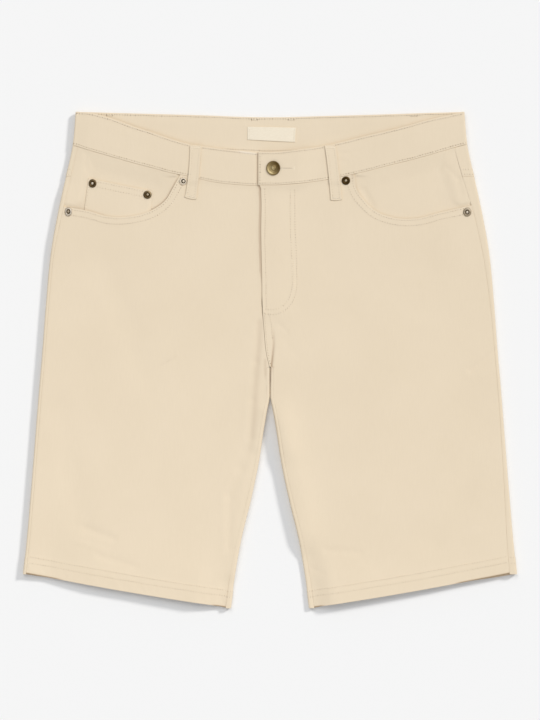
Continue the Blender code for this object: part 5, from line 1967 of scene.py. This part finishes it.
# The rings of turned pieces: radius, height above the base, and the zone of wear.
RIVET_RINGS = (
    (0.3, 0.0, "base"),
    (RIVET_RADIUS - 0.3, 0.0, "base"),
    (RIVET_RADIUS - 0.05, 0.12, "rim"),
    (RIVET_RADIUS, 0.4, "rim"),
    (RIVET_RADIUS - 0.12, 0.75, "rim"),
    (RIVET_RADIUS - 0.5, 1.1, "rim"),
    (RIVET_RADIUS - 0.95, 1.3, "flange"),
    (RIVET_RADIUS - 1.5, 1.4, "flange"),
    (2.85, 1.36, "flange"),
    (2.5, 1.15, "groove"),
    (2.15, 0.9, "groove"),
    (1.8, 0.92, "groove"),
    (1.65, 1.35, "groove"),
    (1.45, 1.85, "nub"),
    (1.05, 2.08, "nub"),
    (0.6, 2.18, "nub"),
    (0.15, 2.2, "nub"),
)
HEAD_RINGS = (
    (BUTTON_RADIUS - 0.8, 0.0, "base"),
    (BUTTON_RADIUS - 0.25, 0.25, "groove"),
    (BUTTON_RADIUS, 0.9, "rim"),
    (BUTTON_RADIUS - 0.15, 1.45, "rim"),
    (BUTTON_RADIUS - 0.5, 1.95, "rim"),
    (BUTTON_RADIUS - 0.9, 2.2, "rim"),
    (BUTTON_RADIUS - 1.4, 2.2, "flange"),
    (BUTTON_RADIUS - 2.2, 1.95, "flange"),
    (BUTTON_RADIUS - 3.0, 1.6, "flange"),
    (5.1, 1.42, "groove"),
    (4.8, 1.55, "flange"),
    (4.4, 1.58, "flange"),
    (4.1, 1.42, "groove"),
    (3.4, 1.35, "flange"),
    (3.0, 1.5, "groove"),
    (2.6, 1.95, "nub"),
    (2.0, 2.18, "nub"),
    (1.4, 2.2, "nub"),
    (1.0, 2.05, "groove"),
    (0.5, 2.1, "nub"),
    (0.12, 2.25, "nub"),
)
RIVET_FINISHES = (
    Finish(0.0, 0.30, 0.18, 0.0, 1.0, 130.0, 0.5, 0.96, 1.05, (-0.2, -0.3)),
    Finish(0.0, 0.62, 0.42, 0.0, 0.85, 40.0, 0.8, 1.03, 1.0, (0.0, 0.0)),
    Finish(0.0, 0.80, 0.98, 0.05, 0.62, 200.0, 0.0, 0.9, 1.12, (0.0, 0.3)),
    Finish(1.0, 1.0, 1.0, 0.0, 1.0, 180.0, 0.0, 0.96, 0.96, (0.9, 0.0)),
    Finish(0.0, 0.03, 0.0, 0.0, 0.75, 90.0, 0.2, 1.04, 1.04, (0.0, 0.0)),
    Finish(0.0, 0.62, 0.7, 0.1, 0.95, 90.0, 0.15, 1.0, 1.08, (-0.3, -0.5)),
)
BUTTON_FINISH = Finish(0.0, 0.76, 0.95, 0.2, 1.0, 215.0, 0.9, 0.97, 1.0, (0.5, 0.8))


def turned(name, place, profile, segments, material, finish):
    """A piece turned about the vertical axis at a place, the rings near its middle set off by the lean."""
    rings = np.array([(radius, height, getattr(finish, zone)) for radius, height, zone in profile])
    radius, height, wear_and_painted_light = rings.T
    inward = np.clip(1.0 - radius / radius.max(), 0.0, 1.0) * (height > height.max() / 2)
    angles = np.linspace(0.0, 2 * math.pi, segments, endpoint=False)
    x = place[0] + (inward * finish.lean[0])[:, None] + finish.width * radius[:, None] * np.cos(angles)
    y = place[1] + (inward * finish.lean[1])[:, None] + finish.height * radius[:, None] * np.sin(angles)
    z = place[2] + height[:, None] + 0 * x
    points = np.stack([x, y, z], axis=-1).reshape(-1, 3)
    index = np.arange(len(points)).reshape(len(profile), segments)
    index = np.column_stack([index, index[:, 0]])
    faces = quads(index).tolist()
    faces.append(index[0, :-1][::-1].tolist())
    faces.append(index[-1, :-1].tolist())
    mesh = mesh_of(name, points, faces, material)
    # Painted light: each piece is paler on the side that faces the finish's direction.
    away = (1 - np.cos(angles - math.radians(finish.towards))) / 2
    share = 1.0 - finish.painted_light_falloff * away[None] * np.clip(radius / radius.max() * 1.6, 0.0, 1.0)[:, None]
    attribute = mesh.attributes.new("wear_and_painted_light", "FLOAT", "POINT")
    attribute.data.foreach_set("value", (wear_and_painted_light[:, None] * share).ravel().astype(np.float32))
    return placed_object(name, mesh)


def rivet(number, spot, material):
    """A domed rivet with a raised nub in a dished middle."""
    rest = float(top_height(spot.x, spot.y)) - spot.depth + SEAM_GAP
    place = (spot.x, spot.y, rest)
    return turned(f"rivet_{number}_metal", place, RIVET_RINGS, 40, material, RIVET_FINISHES[number - 1])


def button(material):
    """The waist button: a rimmed head, and a shank through the buttonhole to the underlap."""
    rest = underlap_height() + SEAM_GAP
    head = overlap_height() + SEAM_GAP - rest
    shank = [(0.2, 0.0, "base"), (SHANK_RADIUS, 0.0, "base"), (SHANK_RADIUS, head, "base")]
    profile = shank + [(radius, head + height, zone) for radius, height, zone in HEAD_RINGS]
    return turned("button_metal", (*BUTTON_AT, rest), profile, 64, material, BUTTON_FINISH)


# ---------------------------------------------------------------- stage, camera and light

PHOTO_HEIGHT = 849.6
CAMERA_HEIGHT = 3000.0
SENSOR = 36.0
FLOOR_GREY = 0.92
WORLD_STRENGTH = 0.52


class Sun(NamedTuple):
    """A lamp: the direction towards it, its share of the light on level ground, and its size."""

    x: float
    y: float
    z: float
    share: float
    degrees: float


KEY = Sun(0.46, 0.50, 0.80, 0.41, 34.0)
FLOOR_KEY = Sun(0.66, 0.50, 0.37, 0.29, 8.0)
FLOOR_FILL = Sun(-0.28, 0.60, 0.75, 0.19, 40.0)

# The panel in front of the hems: its place and width in metres, and its share of the light at the middle.
PANEL_AT = (-0.5, -1.0, 1.3)
PANEL_WIDTH = 0.9
PANEL_SHARE = 0.085
SKY = (0.98, 1.0, 1.03)
WARM = (1.02, 1.0, 0.968)


def stage():
    """The pale floor."""
    reach = 4.0
    level = -0.3 * MM
    corners = [(-reach, -reach, level), (reach, -reach, level), (reach, reach, level), (-reach, reach, level)]
    mesh = bpy.data.meshes.new("floor")
    mesh.from_pydata(corners, [], [(0, 1, 2, 3)])
    n = Nodes("floor_paper")
    grain = n.ranged(n.noise(3.0, detail=3.0), 0.3, 0.7, FLOOR_GREY - 0.002, FLOOR_GREY + 0.002)
    colour = n.add("CombineColor")
    for channel in colour.inputs:
        n.join(grain, channel)
    mesh.materials.append(n.surface(Colour=colour.outputs["Color"], Roughness=0.95, Specular=0.0))
    floor = placed_object("floor", mesh)
    floor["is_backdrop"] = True
    return floor


def camera():
    data = bpy.data.cameras.new("camera")
    data.sensor_width = SENSOR
    data.lens = SENSOR * CAMERA_HEIGHT / PHOTO_HEIGHT
    data.clip_end = 100.0
    obj = bpy.data.objects.new("camera", data)
    obj.location = (0.0, 0.0, CAMERA_HEIGHT * MM)
    bpy.context.scene.collection.objects.link(obj)
    bpy.context.scene.camera = obj


def lamp(name, sun):
    towards = Vector((sun.x, sun.y, sun.z)).normalized()
    data = bpy.data.lights.new(name, "SUN")
    data.energy = math.pi * sun.share / towards.z
    data.angle = math.radians(sun.degrees)
    return hung(name, data, towards)


def hung(name, data, towards):
    """Places a light so that it shines from a direction."""
    data.color = WARM
    obj = bpy.data.objects.new(name, data)
    obj.rotation_euler = towards.to_track_quat("Z", "Y").to_euler()
    bpy.context.scene.collection.objects.link(obj)
    return obj


def panel_lamp():
    """A wide low panel beyond the hems, so that the light falls off a little towards the waist."""
    place = Vector(PANEL_AT)
    data = bpy.data.lights.new("panel", "AREA")
    data.size = PANEL_WIDTH
    data.energy = PANEL_SHARE * math.pi**2 * place.length**3 / place.z
    obj = hung("panel", data, place)
    obj.location = place
    return obj


def light(floor):
    """White surroundings and a softbox, with a lower one that only the floor takes its long shadows from."""
    world = bpy.data.worlds.new("studio")
    world.use_nodes = True
    background = world.node_tree.nodes["Background"]
    background.inputs["Color"].default_value = (*SKY, 1.0)
    background.inputs["Strength"].default_value = WORLD_STRENGTH
    bpy.context.scene.world = world
    shorts = bpy.data.collections.new("lit_shorts")
    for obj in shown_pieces():
        shorts.objects.link(obj)
    ground = bpy.data.collections.new("lit_floor")
    ground.objects.link(floor)
    lamp("softbox", KEY).light_linking.receiver_collection = shorts
    panel_lamp().light_linking.receiver_collection = shorts
    lamp("low_softbox", FLOOR_KEY).light_linking.receiver_collection = ground
    lamp("fill", FLOOR_FILL).light_linking.receiver_collection = ground
    bpy.context.scene.view_settings.view_transform = "Standard"


# ---------------------------------------------------------------- the shorts


def settle(obj, node):
    """A piece that stands for a node of the model."""
    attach(obj, "root")
    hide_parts(node)
    return obj


def build():
    cloth = twill("twill")
    sewing = thread_material("sewing_thread")
    satin = label_material("label_satin")
    brass = {name: brass_material(name, *looks) for name, looks in BRASS_LOOKS.items()}
    made = []

    def piece(node, slot, thread, maker, *details):
        obj, form = maker(*details) if thread is None else maker(*details, thread)
        settle(obj, node)
        made.append((obj, form, node, thread))

    threads = {}
    for seed, name in enumerate(("fronts", "backs", "waistband", "pockets", "loops", "label"), start=100):
        threads[name] = Thread(f"stitches_{name}", seed)
    for side in SIDES:
        name = SIDE_NAMES[side]
        piece(f"front_{name}", "twill", threads["fronts"], front_panel, side, cloth)
        piece(f"back_{name}", "twill", threads["backs"], back_panel, side, cloth)
        piece(f"yoke_{name}", "twill", threads["backs"], yoke, side, cloth)
        piece(f"pocket_facing_{name}", "twill", None, pocket_facing, side, cloth)
        piece(f"back_pocket_{name}", "twill", threads["pockets"], back_pocket, side, cloth)
    piece("waistband", "twill", threads["waistband"], waistband, cloth)
    buttonhole_stitches(threads["waistband"])
    piece("coin_pocket", "twill", threads["pockets"], coin_pocket, cloth)
    piece("label", "woven_label", threads["label"], label, satin)
    for number, loop in enumerate(FRONT_LOOPS, start=1):
        piece(f"belt_loop_{number}", "twill", threads["loops"], front_loop, number, loop, cloth)
    for number, x in enumerate(BACK_LOOPS_X, start=len(FRONT_LOOPS) + 1):
        piece(f"belt_loop_{number}", "twill", threads["loops"], back_loop, number, x, cloth)
    for number, spot in enumerate(RIVETS, start=1):
        settle(rivet(number, spot, brass[spot.metal]), f"rivet_{number}")
    settle(button(brass["gilt_brass"]), "button")
    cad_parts["zip"].data.materials.clear()
    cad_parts["zip"].data.materials.append(tape_material("zip_tape"))
    sewn = {}
    for thread in threads.values():
        sewn[thread] = thread.build(sewing)
        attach(sewn[thread], "root")
    for obj, form, node, thread in made:
        area = min(form.area, form.flat[0] * form.flat[1])


build()
camera()
light(stage())
